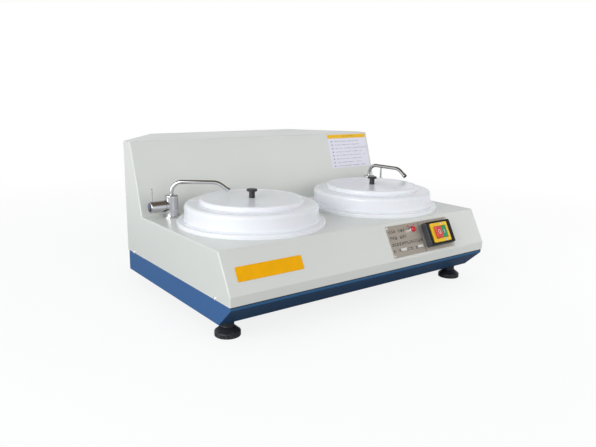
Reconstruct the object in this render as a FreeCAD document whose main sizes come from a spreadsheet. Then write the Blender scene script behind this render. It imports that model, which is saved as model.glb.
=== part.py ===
import FreeCAD, Part
import math
import os
import Sketcher

Vector = FreeCAD.Vector
Rotation = FreeCAD.Rotation

# Driving dimensions in millimetres, angles in degrees. Heights are above the bench unless the name
# says otherwise, depths run back from the cover's front lip, and x runs to the operator's right.
SIZES = {
    # Clearances and roundings that many pieces share
    "hole_clearance": 0.3,
    "window_clearance": 0.5,
    "cutter_reach": 20,
    "small_round": 1,
    "medium_round": 2,
    "large_round": 3,
    # Housing
    "machine_width": 700,
    "origin_behind_lip": 314.2,
    "cover_bottom": 80,
    "front_lip_height": 18,
    "worktop_height": 171.5,
    "worktop_front_depth": 40,
    "splash_foot_depth": 370.5,
    "splash_top_depth": 421,
    "cover_height": 329,
    "side_depth": 457,
    "rear_depth": 617,
    "rear_corner_width": 132,
    "cover_wall": 1.5,
    "cover_bend": 2.5,
    "tray_gap": 0.5,
    "tray_wall": 1.5,
    "tray_bend": 1.5,
    "tray_bottom": 33,
    "tray_rim_height": 96,
    "tray_lip_height": 71.7,
    "tray_slant_depth": 44,
    # Cover screws
    "cover_screw_height": 83,
    "cover_screw_front_depth": 51.5,
    "cover_screw_rear_depth": 418,
    "cover_screw_back_offset": 170,
    "cover_screw_radius": 2,
    "cover_screw_head_radius": 4,
    "cover_screw_head_height": 2.4,
    "cover_screw_length": 8,
    # Levelling feet
    "front_foot_inset": 34.2,
    "front_foot_depth": 67.3,
    "rear_foot_inset": 28,
    "rear_foot_depth": 570,
    "foot_radius": 24.7,
    "foot_rim_height": 9,
    "foot_boss_radius": 12.5,
    "foot_cone_height": 19,
    "foot_stud_radius": 5,
    "foot_stud_above_tray": 18,
    "foot_nut_flats": 17,
    "foot_nut_height": 8,
    # Deck plate, its pillars and bolts
    "deck_half_width": 240,
    "deck_front_depth": 122,
    "deck_rear_depth": 575,
    "deck_bottom": 76,
    "deck_thickness": 8,
    "deck_round": 12,
    "pillar_radius": 10,
    "pillar_inset": 25,
    "pillar_front_depth": 138,
    "pillar_middle_depth": 385,
    "pillar_rear_depth": 548,
    "bolt_radius": 4,
    "bolt_flats": 13,
    "bolt_head_height": 5.3,
    "bolt_clearance": 0.25,
    "bolt_end": 2,
    "pillar_thread": 22,
    # Bowls and splash rings; heights from the worktop
    "bowl_offset": 173.4,
    "bowl_depth": 205.6,
    "flange_radius": 156.6,
    "flange_height": 8,
    "bowl_radius": 140,
    "bowl_wall": 4,
    "bowl_sunk": 45.5,
    "bowl_hole_gap": 2,
    "chimney_bore": 18,
    "chimney_wall": 5,
    "chimney_height": 33,
    "drain_offset": 105,
    "drain_radius": 11,
    "drain_bore": 8,
    "drain_length": 10,
    "ring_overhang": 1.4,
    "ring_top": 42.9,
    "ring_wall": 4,
    "ring_round": 9,
    "ring_foot_width": 4.5,
    "ring_foot_thickness": 1,
    "ring_foot_round": 4,
    "ring_opening": 104,
    "ring_drip": 7,
    "ring_skirt": 8,
    "ring_skirt_wall": 3.5,
    "ring_skirt_gap": 0.5,
    # Lids and their knobs
    "lid_radius": 110.1,
    "lid_thickness": 9.7,
    "lid_wall": 3.5,
    "lid_round": 5,
    "lid_rim_width": 6,
    "lid_recess": 0.8,
    "knob_head_radius": 11.3,
    "knob_stem_radius": 6.2,
    "knob_height": 19,
    "knob_head_height": 5,
    "knob_stud_radius": 3,
    # Polishing discs, cloths and clamp rings; heights from the worktop
    "disc_radius": 100,
    "disc_top": 23.5,
    "disc_thickness": 12,
    "disc_hub_radius": 25,
    "disc_hub_length": 18,
    "disc_lightening": 5,
    "disc_rim": 12,
    "disc_bore_cover": 7,
    "cloth_thickness": 1.2,
    "clamp_wall": 2,
    "clamp_overlap": 2.5,
    "clamp_lip": 1.5,
    "clamp_height": 13,
    # Spindles, housings and bearings
    "spindle_radius": 12.5,
    "spindle_nose_radius": 10,
    "spindle_collar_radius": 15.5,
    "spindle_collar_height": 5,
    "spindle_tail_end": 39.5,
    "spindle_tail_radius": 11,
    "running_gap": 0.05,
    "bearing_radius": 26,
    "bearing_width": 15,
    "bearing_inner_ring": 17,
    "bearing_outer_ring": 21.5,
    "bearing_groove": 1,
    "housing_bottom": 71.5,
    "housing_top": 122,
    "housing_radius": 37,
    "housing_shoulder": 3,
    "housing_flange_radius": 60,
    "housing_flange_thickness": 10,
    "housing_bolt_circle": 49,
    "housing_fit": 0.2,
    # Belt drive
    "spindle_pulley_pitch": 56,
    "motor_pulley_pitch": 36,
    "left_belt_height": 48,
    "right_belt_height": 61,
    "pulley_width": 13,
    "belt_width": 10,
    "belt_above_pitch": 2,
    "belt_below_pitch": 4,
    "belt_flank": 18,
    "belt_gap": 0.3,
    "pulley_rim": 3,
    "pulley_rim_wall": 5,
    "pulley_web": 6,
    "pulley_hub_radius": 20,
    # Motor; heights above the bench
    "motor_depth": 500,
    "motor_flange_radius": 78,
    "motor_flange_thickness": 12,
    "motor_bolt_circle": 70,
    "motor_spigot_radius": 45,
    "motor_frame_radius": 60,
    "motor_fin_radius": 68,
    "motor_fin_width": 3,
    "motor_fin_count": 24,
    "motor_fin_bottom": 106,
    "motor_frame_top": 252,
    "motor_cavity_bottom": 122,
    "motor_cavity_top": 228,
    "motor_cavity_radius": 36,
    "motor_air_gap": 0.5,
    "motor_end_gap": 2,
    "motor_shaft_radius": 9.5,
    "motor_cowl_top": 304,
    "motor_cowl_wall": 2,
    "motor_cowl_round": 8,
    "motor_fan_radius": 52,
    "motor_fan_bottom": 262,
    "motor_fan_thickness": 12,
    "cowl_slot_count": 5,
    "cowl_slot_width": 6,
    "cowl_slot_pitch": 14,
    "cowl_slot_length": 70,
    "terminal_box_width": 80,
    "terminal_box_depth": 36,
    "terminal_box_height": 60,
    "terminal_box_low": 150,
    # Taps; heights from the worktop
    "tap_offset": 293,
    "tap_before_splash": 29.5,
    "tap_flange_radius": 20,
    "tap_flange_height": 4,
    "tap_body_radius": 14.5,
    "tap_body_height": 49,
    "tap_tail_radius": 8,
    "tap_tail_length": 30,
    "tap_nut_flats": 27,
    "tap_nut_height": 7,
    "tap_barrel_radius": 12.4,
    "tap_barrel_height": 25.5,
    "tap_stub_length": 16,
    "tap_handle_end": 50.5,
    "tap_joint_gap": 0.3,
    "tap_pin_radius": 5,
    "tap_pin_length": 9,
    "lever_offset": 45.2,
    "lever_reach": 40,
    "lever_foot_radius": 3,
    "lever_tip_radius": 2.6,
    "spout_radius": 4.5,
    "spout_wall": 1,
    "spout_socket": 14,
    "spout_run_height": 77,
    "spout_elbow": 24,
    "spout_bend_reach": 101,
    "spout_bend": 30,
    "spout_tip_reach": 125,
    "spout_dip": 36.5,
    "spout_nozzle_length": 6,
    "spout_nozzle_radius": 5.4,
    "left_spout_angle": -37,
    "right_spout_angle": -86,
    # Control plate on the front slope; distances along x and up the slope
    "plate_left": 51,
    "plate_width": 196.5,
    "plate_low": 5.5,
    "plate_height": 69.5,
    "plate_thickness": 1.2,
    "plate_screw_inset": 4,
    "plate_screw_radius": 1.5,
    "plate_screw_head_radius": 2.8,
    "plate_screw_head_height": 1.6,
    "plate_screw_length": 8,
    "plate_groove_offset": 100,
    "plate_groove_width": 0.8,
    "plate_groove_cut": 0.4,
    "lamp_offset": 73,
    "lamp_height": 59,
    "lamp_bezel_radius": 7.8,
    "lamp_bezel_height": 7,
    "lamp_thread_radius": 6,
    "lamp_thread_length": 18,
    "lamp_lens_radius": 6.4,
    "lamp_lens_height": 12,
    "lamp_lens_round": 4.5,
    # Switch
    "switch_left": 158,
    "switch_width": 79.5,
    "switch_low": 13,
    "switch_height": 54,
    "switch_proud": 17,
    "switch_round": 4,
    "switch_block_inset": 8,
    "switch_block_depth": 26,
    "switch_well_depth": 13,
    "switch_face_width": 54.2,
    "switch_face_height": 43.7,
    "switch_face_shift": 3.35,
    "switch_face_thickness": 2.5,
    "switch_face_round": 2.5,
    "button_width": 18.4,
    "button_height": 27,
    "button_shift": 1.1,
    "button_pitch": 20,
    "button_gap": 0.5,
    "stop_button_proud": 5,
    "start_button_proud": 1,
    "button_body": 7,
    "button_catch": 1.5,
    "button_round": 1.2,
    "face_screw_radius": 2.6,
    "face_screw_height": 1,
    "face_screw_offset": 18.5,
    "face_screw_shift": 8.9,
    # Name plate and instruction sticker
    "name_plate_left": -326.3,
    "name_plate_width": 145,
    "name_plate_low": 23.7,
    "name_plate_height": 27.4,
    "name_plate_thickness": 0.6,
    "sticker_left": 205,
    "sticker_width": 138,
    "sticker_low": 69,
    "sticker_height": 92.5,
    "sticker_thickness": 0.4,
    "hose_straight": 60,
    "hose_bend": 40,
    "hose_elbow_bulge": 0.6,
    # Rear services; heights above the bench
    "water_tail_offset": 150,
    "water_tail_height": 118,
    "water_hose_radius": 6.5,
    "water_hose_bore": 4.5,
    "drain_tail_offset": 104,
    "drain_hose_radius": 11,
    "drain_hose_bore": 8,
    "drain_hose_height": 100,
    "tail_length": 20,
    "tail_inside": 12,
    "tail_collar_width": 4,
    "tail_collar": 4,
    "gland_height": 150,
    "gland_offset": 60,
    "gland_radius": 11,
    "gland_thread_radius": 8,
    "gland_bore": 4,
    "gland_length": 18,
    "gland_shoulder": 12,
    "louvre_count": 7,
    "louvre_length": 120,
    "louvre_gap": 20,
    "louvre_height": 5,
    "louvre_pitch": 14,
    "louvre_low": 205,
}

document = FreeCAD.newDocument("polishing_machine")
sheet = document.addObject("Spreadsheet::Sheet", "Sizes")
for row, (alias, number) in enumerate(SIZES.items(), 1):
    sheet.set(f"A{row}", alias)
    sheet.set(f"B{row}", str(number))
    sheet.setAlias(f"B{row}", alias)
document.recompute()


class Size:
    """A dimension that carries its number and the spreadsheet expression that gives it."""

    def __init__(self, number, text):
        self.number = float(number)
        self.text = text

    def __add__(self, other):
        other = as_size(other)
        return Size(self.number + other.number, f"({self.text} + {other.text})")

    def __radd__(self, other):
        return as_size(other) + self

    def __sub__(self, other):
        other = as_size(other)
        return Size(self.number - other.number, f"({self.text} - {other.text})")

    def __rsub__(self, other):
        return as_size(other) - self

    def __mul__(self, other):
        other = as_size(other)
        return Size(self.number * other.number, f"({self.text} * {other.text})")

    def __rmul__(self, other):
        return as_size(other) * self

    def __truediv__(self, other):
        other = as_size(other)
        return Size(self.number / other.number, f"({self.text} / {other.text})")

    def __neg__(self):
        return Size(-self.number, f"(0 - {self.text})")


class SheetSizes:
    """Reads a cell of the sheet by its alias, as sizes.machine_width."""

    def __getattr__(self, alias):
        return Size(SIZES[alias], f"Sizes.{alias}")


def as_size(value):
    return value if isinstance(value, Size) else Size(value, repr(float(value)))


def root(value):
    return Size(math.sqrt(value.number), f"sqrt({value.text})")


def sine(angle):
    return Size(math.sin(math.radians(angle.number)), f"sin({angle.text})")


def cosine(angle):
    return Size(math.cos(math.radians(angle.number)), f"cos({angle.text})")


def tangent(angle):
    return Size(math.tan(math.radians(angle.number)), f"tan({angle.text})")


def angle_of(rise, run):
    """The direction of a run and a rise, in plain degrees."""
    text = f"(atan2({rise.text}; {run.text}) / 1 deg)"
    return Size(math.degrees(math.atan2(rise.number, run.number)), text)


def arc_sine(ratio):
    return Size(math.degrees(math.asin(ratio.number)), f"(asin({ratio.text}) / 1 deg)")


sizes = SheetSizes()
SIDES = (("left", -1), ("right", 1))

# Places that several pieces share
front = -sizes.origin_behind_lip
rear = front + sizes.rear_depth
lip_top = sizes.cover_bottom + sizes.front_lip_height
splash_foot = front + sizes.splash_foot_depth
splash_top = front + sizes.splash_top_depth
worktop = sizes.worktop_height
bowl_y = front + sizes.bowl_depth
motor_y = front + sizes.motor_depth
tap_y = splash_foot - sizes.tap_before_splash
deck_top = sizes.deck_bottom + sizes.deck_thickness
tray_inset = sizes.cover_wall + sizes.tray_gap
tray_floor = sizes.tray_bottom + sizes.tray_wall
bowl_floor = worktop - sizes.bowl_sunk
disc_top = worktop + sizes.disc_top
disc_bottom = disc_top - sizes.disc_thickness
tap_axis_z = worktop + sizes.tap_barrel_height


def bind(thing, **values):
    """Binds properties of an object to sizes."""
    for name, value in values.items():
        thing.setExpression(name, as_size(value).text)


def place(thing, x=0, y=0, z=0, axis=Vector(0, 0, 1), turn=0):
    """Puts an object at a bound place, turned by a bound angle about an axis."""
    x, y, z, turn = (as_size(value) for value in (x, y, z, turn))
    thing.Placement = FreeCAD.Placement(Vector(x.number, y.number, z.number), Rotation(axis, turn.number))
    for name, value in (("Base.x", x), ("Base.y", y), ("Base.z", z)):
        thing.setExpression(f"Placement.{name}", value.text)
    if turn.number:
        thing.setExpression("Placement.Rotation.Angle", turn.text)
    return thing


def new_body(label):
    body = document.addObject("PartDesign::Body", label)
    body.Label = label
    return body


def new_sketch(body, plane, height=0):
    """An empty sketch on one of the body's own origin planes, lifted off it by a bound height."""
    sketch = body.newObject("Sketcher::SketchObject", f"{body.Name}_sketch")
    support = next(item for item in body.Origin.OriginFeatures if item.Role == plane)
    sketch.AttachmentSupport = [(support, "")]
    sketch.MapMode = "FlatFace"
    height = as_size(height)
    if height.text != "0.0":
        sketch.AttachmentOffset = FreeCAD.Placement(Vector(0, 0, height.number), Rotation())
        sketch.setExpression("AttachmentOffset.Base.z", height.text)
    return sketch


def fix_point(sketch, geometry, position, x, y):
    """Holds one point of a sketch at bound coordinates."""
    for kind, value in (("DistanceX", as_size(x)), ("DistanceY", as_size(y))):
        index = sketch.addConstraint(Sketcher.Constraint(kind, geometry, position, value.number))
        sketch.setExpression(f"Constraints[{index}]", value.text)


def draw_circle(sketch, x, y, radius):
    x, y, radius = as_size(x), as_size(y), as_size(radius)
    circle = Part.Circle(Vector(x.number, y.number, 0), Vector(0, 0, 1), radius.number)
    geometry = sketch.addGeometry(circle, False)
    fix_point(sketch, geometry, 3, x, y)
    index = sketch.addConstraint(Sketcher.Constraint("Radius", geometry, radius.number))
    sketch.setExpression(f"Constraints[{index}]", radius.text)


def corner_points(points, index):
    """Where a rounded corner's arc starts, ends and has its centre, and whether it turns left."""
    here, before, after = points[index], points[index - 1], points[(index + 1) % len(points)]
    corner = Vector(here[0].number, here[1].number, 0)
    back = (Vector(before[0].number, before[1].number, 0) - corner).normalize()
    ahead = (Vector(after[0].number, after[1].number, 0) - corner).normalize()
    half = back.getAngle(ahead) / 2
    reach = here[2].number / math.tan(half)
    centre = corner + (back + ahead).normalize() * (here[2].number / math.sin(half))
    turns_left = ahead.cross(back).z > 0
    return corner + back * reach, corner + ahead * reach, centre, turns_left


def draw_outline(sketch, points, closed=True):
    """Draws an outline or a path through bound points; a third value rounds that corner to a radius."""
    points = [tuple(as_size(value) for value in point) for point in points]
    count = len(points)
    lines = count if closed else count - 1
    corners = {i: corner_points(points, i) for i in range(count) if len(points[i]) == 3}
    plain = [Vector(point[0].number, point[1].number, 0) for point in points]
    first = sketch.GeometryCount
    for i in range(lines):
        after = (i + 1) % count
        start = corners[i][1] if i in corners else plain[i]
        end = corners[after][0] if after in corners else plain[after]
        sketch.addGeometry(Part.LineSegment(start, end), False)
    for i in range(count):
        line, previous = first + i, first + (i - 1) % count
        if not closed and i in (0, lines):
            end_line, end_point = (line, 1) if i == 0 else (previous, 2)
            fix_point(sketch, end_line, end_point, points[i][0], points[i][1])
            continue
        if i not in corners:
            sketch.addConstraint(Sketcher.Constraint("Coincident", previous, 2, line, 1))
            fix_point(sketch, line, 1, points[i][0], points[i][1])
            continue
        start, end, centre, turns_left = corners[i]
        ends = (start, end) if turns_left else (end, start)
        angles = [math.atan2(point.y - centre.y, point.x - centre.x) for point in ends]
        circle = Part.Circle(centre, Vector(0, 0, 1), points[i][2].number)
        arc = sketch.addGeometry(Part.ArcOfCircle(circle, angles[0], angles[1]), False)
        corner = sketch.addGeometry(Part.Point(plain[i]), True)
        arc_start, arc_end = (1, 2) if turns_left else (2, 1)
        sketch.addConstraint(Sketcher.Constraint("Tangent", previous, 2, arc, arc_start))
        sketch.addConstraint(Sketcher.Constraint("Tangent", arc, arc_end, line, 1))
        sketch.addConstraint(Sketcher.Constraint("PointOnObject", corner, 1, previous))
        sketch.addConstraint(Sketcher.Constraint("PointOnObject", corner, 1, line))
        fix_point(sketch, corner, 1, points[i][0], points[i][1])
        index = sketch.addConstraint(Sketcher.Constraint("Radius", arc, points[i][2].number))
        sketch.setExpression(f"Constraints[{index}]", points[i][2].text)
    return sketch


def rectangle(x_low, y_low, width, height):
    x_low, y_low = as_size(x_low), as_size(y_low)
    return [(x_low, y_low), (x_low + width, y_low), (x_low + width, y_low + height), (x_low, y_low + height)]


def rounded(points, radius):
    return [point + (radius,) for point in points]


def pad(body, sketch, length, symmetric=False):
    feature = body.newObject("PartDesign::Pad", f"{body.Name}_pad")
    feature.Profile = sketch
    feature.SideType = "Symmetric" if symmetric else "One side"
    bind(feature, Length=length)
    return feature


def cut_through(body, sketch):
    """A pocket that runs through everything, both ways from its sketch."""
    feature = body.newObject("PartDesign::Pocket", f"{body.Name}_cut")
    feature.Profile = sketch
    feature.Type = "ThroughAll"
    feature.SideType = "Symmetric"
    return feature


def pocket(body, sketch, depth, upward=False):
    """A blind pocket below its sketch's plane, or above it."""
    feature = body.newObject("PartDesign::Pocket", f"{body.Name}_pocket")
    feature.Profile = sketch
    feature.Reversed = upward
    bind(feature, Length=depth)
    return feature


def revolve(body, sketch):
    """Turns a sketch about its vertical axis."""
    feature = body.newObject("PartDesign::Revolution", f"{body.Name}_turned")
    feature.Profile = sketch
    feature.ReferenceAxis = (sketch, ["V_Axis"])
    feature.Angle = 360
    return feature


def plate(label, plane, height, thickness, outline, holes=()):
    """A body padded from an outline and round holes, each given as x, y and radius."""
    body = new_body(label)
    sketch = draw_outline(new_sketch(body, plane, height), outline)
    for x, y, radius in holes:
        draw_circle(sketch, x, y, radius)
    pad(body, sketch, thickness)
    return body


def swept(label, path, radii):
    """A bent rod or tube whose path is drawn in its own x and z, starting over its origin along z."""
    body = new_body(label)
    spine = draw_outline(new_sketch(body, "XZ_Plane"), path, closed=False)
    section = new_sketch(body, "XY_Plane", path[0][1])
    for radius in radii:
        draw_circle(section, 0, 0, radius)
    document.recompute()
    feature = body.newObject("PartDesign::AdditivePipe", f"{label}_swept")
    feature.Profile = section
    feature.Spine = (spine, [f"Edge{i}" for i in range(1, len(spine.Shape.Edges) + 1)])
    return body


def turned(label, points, x=0, y=0, z=0, axis=Vector(0, 0, 1), turn=0):
    """A body turned from an outline given as radius and height."""
    body = new_body(label)
    revolve(body, draw_outline(new_sketch(body, "XZ_Plane"), points))
    return place(body, x, y, z, axis, turn)


def round_edges(body, feature, radius, chosen):
    """Rounds the edges of a feature that the test picks."""
    document.recompute()
    names = [f"Edge{i}" for i, edge in enumerate(feature.Shape.Edges, 1) if chosen(edge)]
    fillet = body.newObject("PartDesign::Fillet", f"{body.Name}_fillet")
    fillet.Base = (feature, names)
    bind(fillet, Radius=radius)
    return fillet


def hollow(body, feature, wall, open_faces):
    """Leaves a wall of even thickness inside the faces, open where the test says."""
    document.recompute()
    names = [f"Face{i}" for i, face in enumerate(feature.Shape.Faces, 1) if open_faces(face)]
    shell = body.newObject("PartDesign::Thickness", f"{body.Name}_shell")
    shell.Base = (feature, names)
    shell.Join = "Arc"
    shell.Reversed = True
    bind(shell, Value=wall)
    return shell


def cylinder(name, radius, height, x=0, y=0, z=0, axis=Vector(0, 0, 1), turn=0):
    solid = document.addObject("Part::Cylinder", name)
    bind(solid, Radius=radius, Height=height)
    return place(solid, x, y, z, axis, turn)


def box(name, width, depth, height, x=0, y=0, z=0, axis=Vector(0, 0, 1), turn=0):
    solid = document.addObject("Part::Box", name)
    bind(solid, Length=width, Width=depth, Height=height)
    return place(solid, x, y, z, axis, turn)


def ball(name, radius, x, y, z):
    solid = document.addObject("Part::Sphere", name)
    bind(solid, Radius=radius)
    return place(solid, x, y, z)


def hexagon(name, flats, height, x=0, y=0, z=0):
    solid = document.addObject("Part::Prism", name)
    solid.Polygon = 6
    bind(solid, Circumradius=as_size(flats) / root(as_size(3)), Height=height)
    return place(solid, x, y, z)


def fuse(name, parts):
    union = document.addObject("Part::MultiFuse", name)
    union.Shapes = parts
    return union


def cut(name, base, tools):
    result = document.addObject("Part::Cut", name)
    result.Base = base
    result.Tool = tools[0] if len(tools) == 1 else fuse(f"{name}_tools", tools)
    result.Label = name
    return result


def group(label, parts):
    """One node that holds several separate, like solids."""
    compound = document.addObject("Part::Compound", label)
    compound.Links = parts
    compound.Label = label
    return compound


# The front slope and the splash wall are flat, leaning faces. A piece on one of them is drawn flat,
# x across and y up the face, and its body is then leaned back about the x axis.
ALONG_X = Vector(1, 0, 0)
slope_run = sizes.worktop_front_depth
slope_rise = worktop - lip_top
slope_angle = angle_of(slope_rise, slope_run)
splash_run = splash_top - splash_foot
splash_rise = sizes.cover_height - worktop
splash_angle = angle_of(splash_rise, splash_run)


def on_slope(thing, x=0, up=0, out=0):
    """Leans a piece on the front slope, its own origin up the slope and out from it."""
    y = front + as_size(up) * cosine(slope_angle) - as_size(out) * sine(slope_angle)
    z = lip_top + as_size(up) * sine(slope_angle) + as_size(out) * cosine(slope_angle)
    return place(thing, x, y, z, ALONG_X, slope_angle)


def on_splash(thing):
    return place(thing, 0, splash_foot, worktop, ALONG_X, splash_angle)


def rear_corner(inset):
    """The two ends of the slanting rear corner in plan, for a skin set in from the cover's."""
    run = sizes.rear_depth - sizes.side_depth
    width = sizes.rear_corner_width
    slant = root(run * run + width * width)
    side_x = sizes.machine_width / 2 - inset
    side_y = front + sizes.side_depth + inset * run / width - inset * slant / width
    rear_x = sizes.machine_width / 2 - width + inset * width / run - inset * slant / run
    return side_x, side_y, rear_x, rear - inset


def sheet_box(label, side_profile, inset, bend, wall, open_height):
    """A folded sheet-steel box: a side profile across the machine, with both rear corners cut."""
    body = new_body(label)
    profile = draw_outline(new_sketch(body, "YZ_Plane"), side_profile)
    pad(body, profile, sizes.machine_width - 2 * inset, symmetric=True)
    side_x, side_y, rear_x, rear_y = rear_corner(inset)
    corners = new_sketch(body, "XY_Plane")
    beyond = 10
    for _, sign in SIDES:
        draw_outline(corners, [(sign * side_x, side_y), (sign * (side_x + beyond), side_y),
                               (sign * (side_x + beyond), rear_y + beyond),
                               (sign * rear_x, rear_y + beyond), (sign * rear_x, rear_y)])
    block = cut_through(body, corners)
    document.recompute()
    rim = open_height.number

    def at_opening(item):
        bounds = item.BoundBox
        return max(abs(bounds.ZMax - rim), abs(bounds.ZMin - rim)) < 0.01

    def outer_fold(edge):
        bounds = edge.BoundBox
        at_splash_foot = abs(bounds.YMin - splash_foot.number) < 0.01
        inner_bend = at_splash_foot and bounds.YLength < 0.01 and bounds.ZLength < 0.01
        middle = Part.Vertex(edge.valueAt((edge.FirstParameter + edge.LastParameter) / 2))
        on_block = min(middle.distToShape(fold)[0] for fold in block.Shape.Edges) < 0.01
        return on_block and not inner_bend and not at_opening(edge)

    shell = hollow(body, block, wall, at_opening)
    round_edges(body, shell, bend, outer_fold)
    return body


def screw(label, radius, head_radius, head_height, length):
    """A round-headed screw along its own z, with the seat of its head at its origin."""
    return turned(label, [(0, -length), (radius, -length), (radius, 0), (head_radius, 0),
                          (head_radius, head_height, head_height * 0.6), (0, head_height)])


# Where the cover screws go: x, y and the direction in which the head faces
SIDEWAYS = Vector(0, 1, 0)
cover_screw_places = [(sign * sizes.machine_width / 2, front + depth, SIDEWAYS, 90 * sign)
                      for _, sign in SIDES
                      for depth in (sizes.cover_screw_front_depth, sizes.cover_screw_rear_depth)]
cover_screw_places += [(sign * sizes.cover_screw_back_offset, rear, ALONG_X, -90) for _, sign in SIDES]
front_foot_x = sizes.machine_width / 2 - sizes.front_foot_inset
rear_foot_x = sizes.machine_width / 2 - sizes.rear_corner_width - sizes.rear_foot_inset
foot_places = [(f"foot_{end}_{name}", sign * x, front + depth)
               for end, x, depth in (("front", front_foot_x, sizes.front_foot_depth),
                                     ("rear", rear_foot_x, sizes.rear_foot_depth))
               for name, sign in SIDES]
plate_screw_places = [(x, up) for x in (sizes.plate_left + sizes.plate_screw_inset,
                                        sizes.plate_left + sizes.plate_width - sizes.plate_screw_inset)
                      for up in (sizes.plate_low + sizes.plate_screw_inset,
                                 sizes.plate_low + sizes.plate_height - sizes.plate_screw_inset)]
lamp_x = sizes.plate_left + sizes.lamp_offset
switch_x = sizes.switch_left + sizes.switch_width / 2
switch_up = sizes.switch_low + sizes.switch_height / 2
block_width = sizes.switch_width - 2 * sizes.switch_block_inset
block_height = sizes.switch_height - 2 * sizes.switch_block_inset


def through_hole(name, radius, x, y, z):
    """A cutter for an upright hole through a sheet at a height, clear of what passes through it."""
    return cylinder(name, radius + sizes.hole_clearance, sizes.cutter_reach, x, y, z - sizes.cutter_reach / 2)


def rear_hole(name, radius, x, z):
    """A cutter for a hole through the rear wall, clear of what passes through it."""
    return cylinder(name, radius + sizes.hole_clearance, sizes.cutter_reach, x,
                    rear + sizes.cutter_reach / 2, z, ALONG_X, 90)


def switch_window(thing):
    """A sketch or cutter outline for the switch block, clear of it all round."""
    gap = sizes.window_clearance
    return draw_outline(thing, rectangle(switch_x - block_width / 2 - gap, switch_up - block_height / 2 - gap,
                                         block_width + 2 * gap, block_height + 2 * gap))


def base_tray():
    """Blue sheet pan: its rim stands inside the cover, its front slants back under the machine."""
    profile = [(front + tray_inset, sizes.tray_rim_height), (front + tray_inset, sizes.tray_lip_height),
               (front + sizes.tray_slant_depth, sizes.tray_bottom), (rear - tray_inset, sizes.tray_bottom),
               (rear - tray_inset, sizes.tray_rim_height)]
    pan = sheet_box("tray_pan", profile, tray_inset, sizes.tray_bend, sizes.tray_wall, sizes.tray_rim_height)
    tools = [through_hole(f"{name}_tray_hole", sizes.foot_stud_radius, x, y, sizes.tray_bottom)
             for name, x, y in foot_places]
    for number, (x, y, axis, turn) in enumerate(cover_screw_places):
        tools.append(cylinder(f"tray_screw_hole_{number}", sizes.cover_screw_radius, sizes.cutter_reach, x, y,
                              sizes.cover_screw_height, axis, as_size(turn) + 180))
    tools += [rear_hole(f"{name}_tray_drain_notch", sizes.drain_hose_radius, sign * sizes.drain_tail_offset,
                        sizes.drain_hose_height) for name, sign in SIDES]
    return cut("base_tray", pan, tools)


def folded_cover():
    """The whole sheet cover with its holes: front lip, slope, worktop, splash wall and rear cabinet."""
    profile = [(front, sizes.cover_bottom), (front, lip_top),
               (front + sizes.worktop_front_depth, worktop), (splash_foot, worktop),
               (splash_top, sizes.cover_height), (rear, sizes.cover_height), (rear, sizes.cover_bottom)]
    shell = sheet_box("cover_shell", profile, as_size(0), sizes.cover_bend, sizes.cover_wall,
                      sizes.cover_bottom)
    tools = []
    for name, sign in SIDES:
        bowl_x = sign * sizes.bowl_offset
        tools.append(through_hole(f"{name}_bowl_hole", sizes.bowl_radius + sizes.bowl_hole_gap, bowl_x,
                                  bowl_y, worktop))
        tools.append(through_hole(f"{name}_tap_hole", sizes.tap_tail_radius, sign * sizes.tap_offset, tap_y,
                                  worktop))
        tools.append(rear_hole(f"{name}_water_hole", sizes.water_hose_radius, sign * sizes.water_tail_offset,
                               sizes.water_tail_height))
        tools.append(rear_hole(f"{name}_drain_hole", sizes.drain_hose_radius, sign * sizes.drain_tail_offset,
                               sizes.drain_hose_height))
        middle = sign * (sizes.louvre_length + sizes.louvre_gap) / 2
        for number in range(SIZES["louvre_count"]):
            tools.append(box(f"{name}_louvre_{number}", sizes.louvre_length, sizes.cutter_reach,
                             sizes.louvre_height, middle - sizes.louvre_length / 2,
                             rear - sizes.cutter_reach / 2, sizes.louvre_low + number * sizes.louvre_pitch))
    tools.append(rear_hole("gland_hole", sizes.gland_thread_radius, sizes.gland_offset, sizes.gland_height))
    for number, (x, y, axis, turn) in enumerate(cover_screw_places):
        tools.append(cylinder(f"cover_screw_hole_{number}", sizes.cover_screw_radius + sizes.bolt_clearance,
                              sizes.cover_wall + sizes.tray_gap / 2, x, y, sizes.cover_screw_height, axis,
                              as_size(turn) + 180))
        slot = 2 * (sizes.cover_screw_radius + sizes.bolt_clearance)
        width, depth = (sizes.cutter_reach, slot) if axis == SIDEWAYS else (slot, sizes.cutter_reach)
        tools.append(box(f"cover_screw_slot_{number}", width, depth,
                         sizes.cover_screw_height - sizes.cover_bottom + sizes.medium_round,
                         x - width / 2, y - depth / 2, sizes.cover_bottom - sizes.medium_round))
    sunk = -sizes.cutter_reach / 2
    for number, (x, up) in enumerate(plate_screw_places):
        hole = cylinder(f"plate_screw_hole_{number}", sizes.plate_screw_radius, sizes.cutter_reach)
        tools.append(on_slope(hole, x, up, sunk))
    lamp_hole = cylinder("lamp_hole", sizes.lamp_thread_radius + sizes.hole_clearance, sizes.cutter_reach)
    tools.append(on_slope(lamp_hole, lamp_x, sizes.lamp_height, sunk))
    window = new_body("switch_window")
    pad(window, switch_window(new_sketch(window, "XY_Plane", sunk)), sizes.cutter_reach)
    tools.append(on_slope(window))
    return cut("folded_cover", shell, tools)


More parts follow.
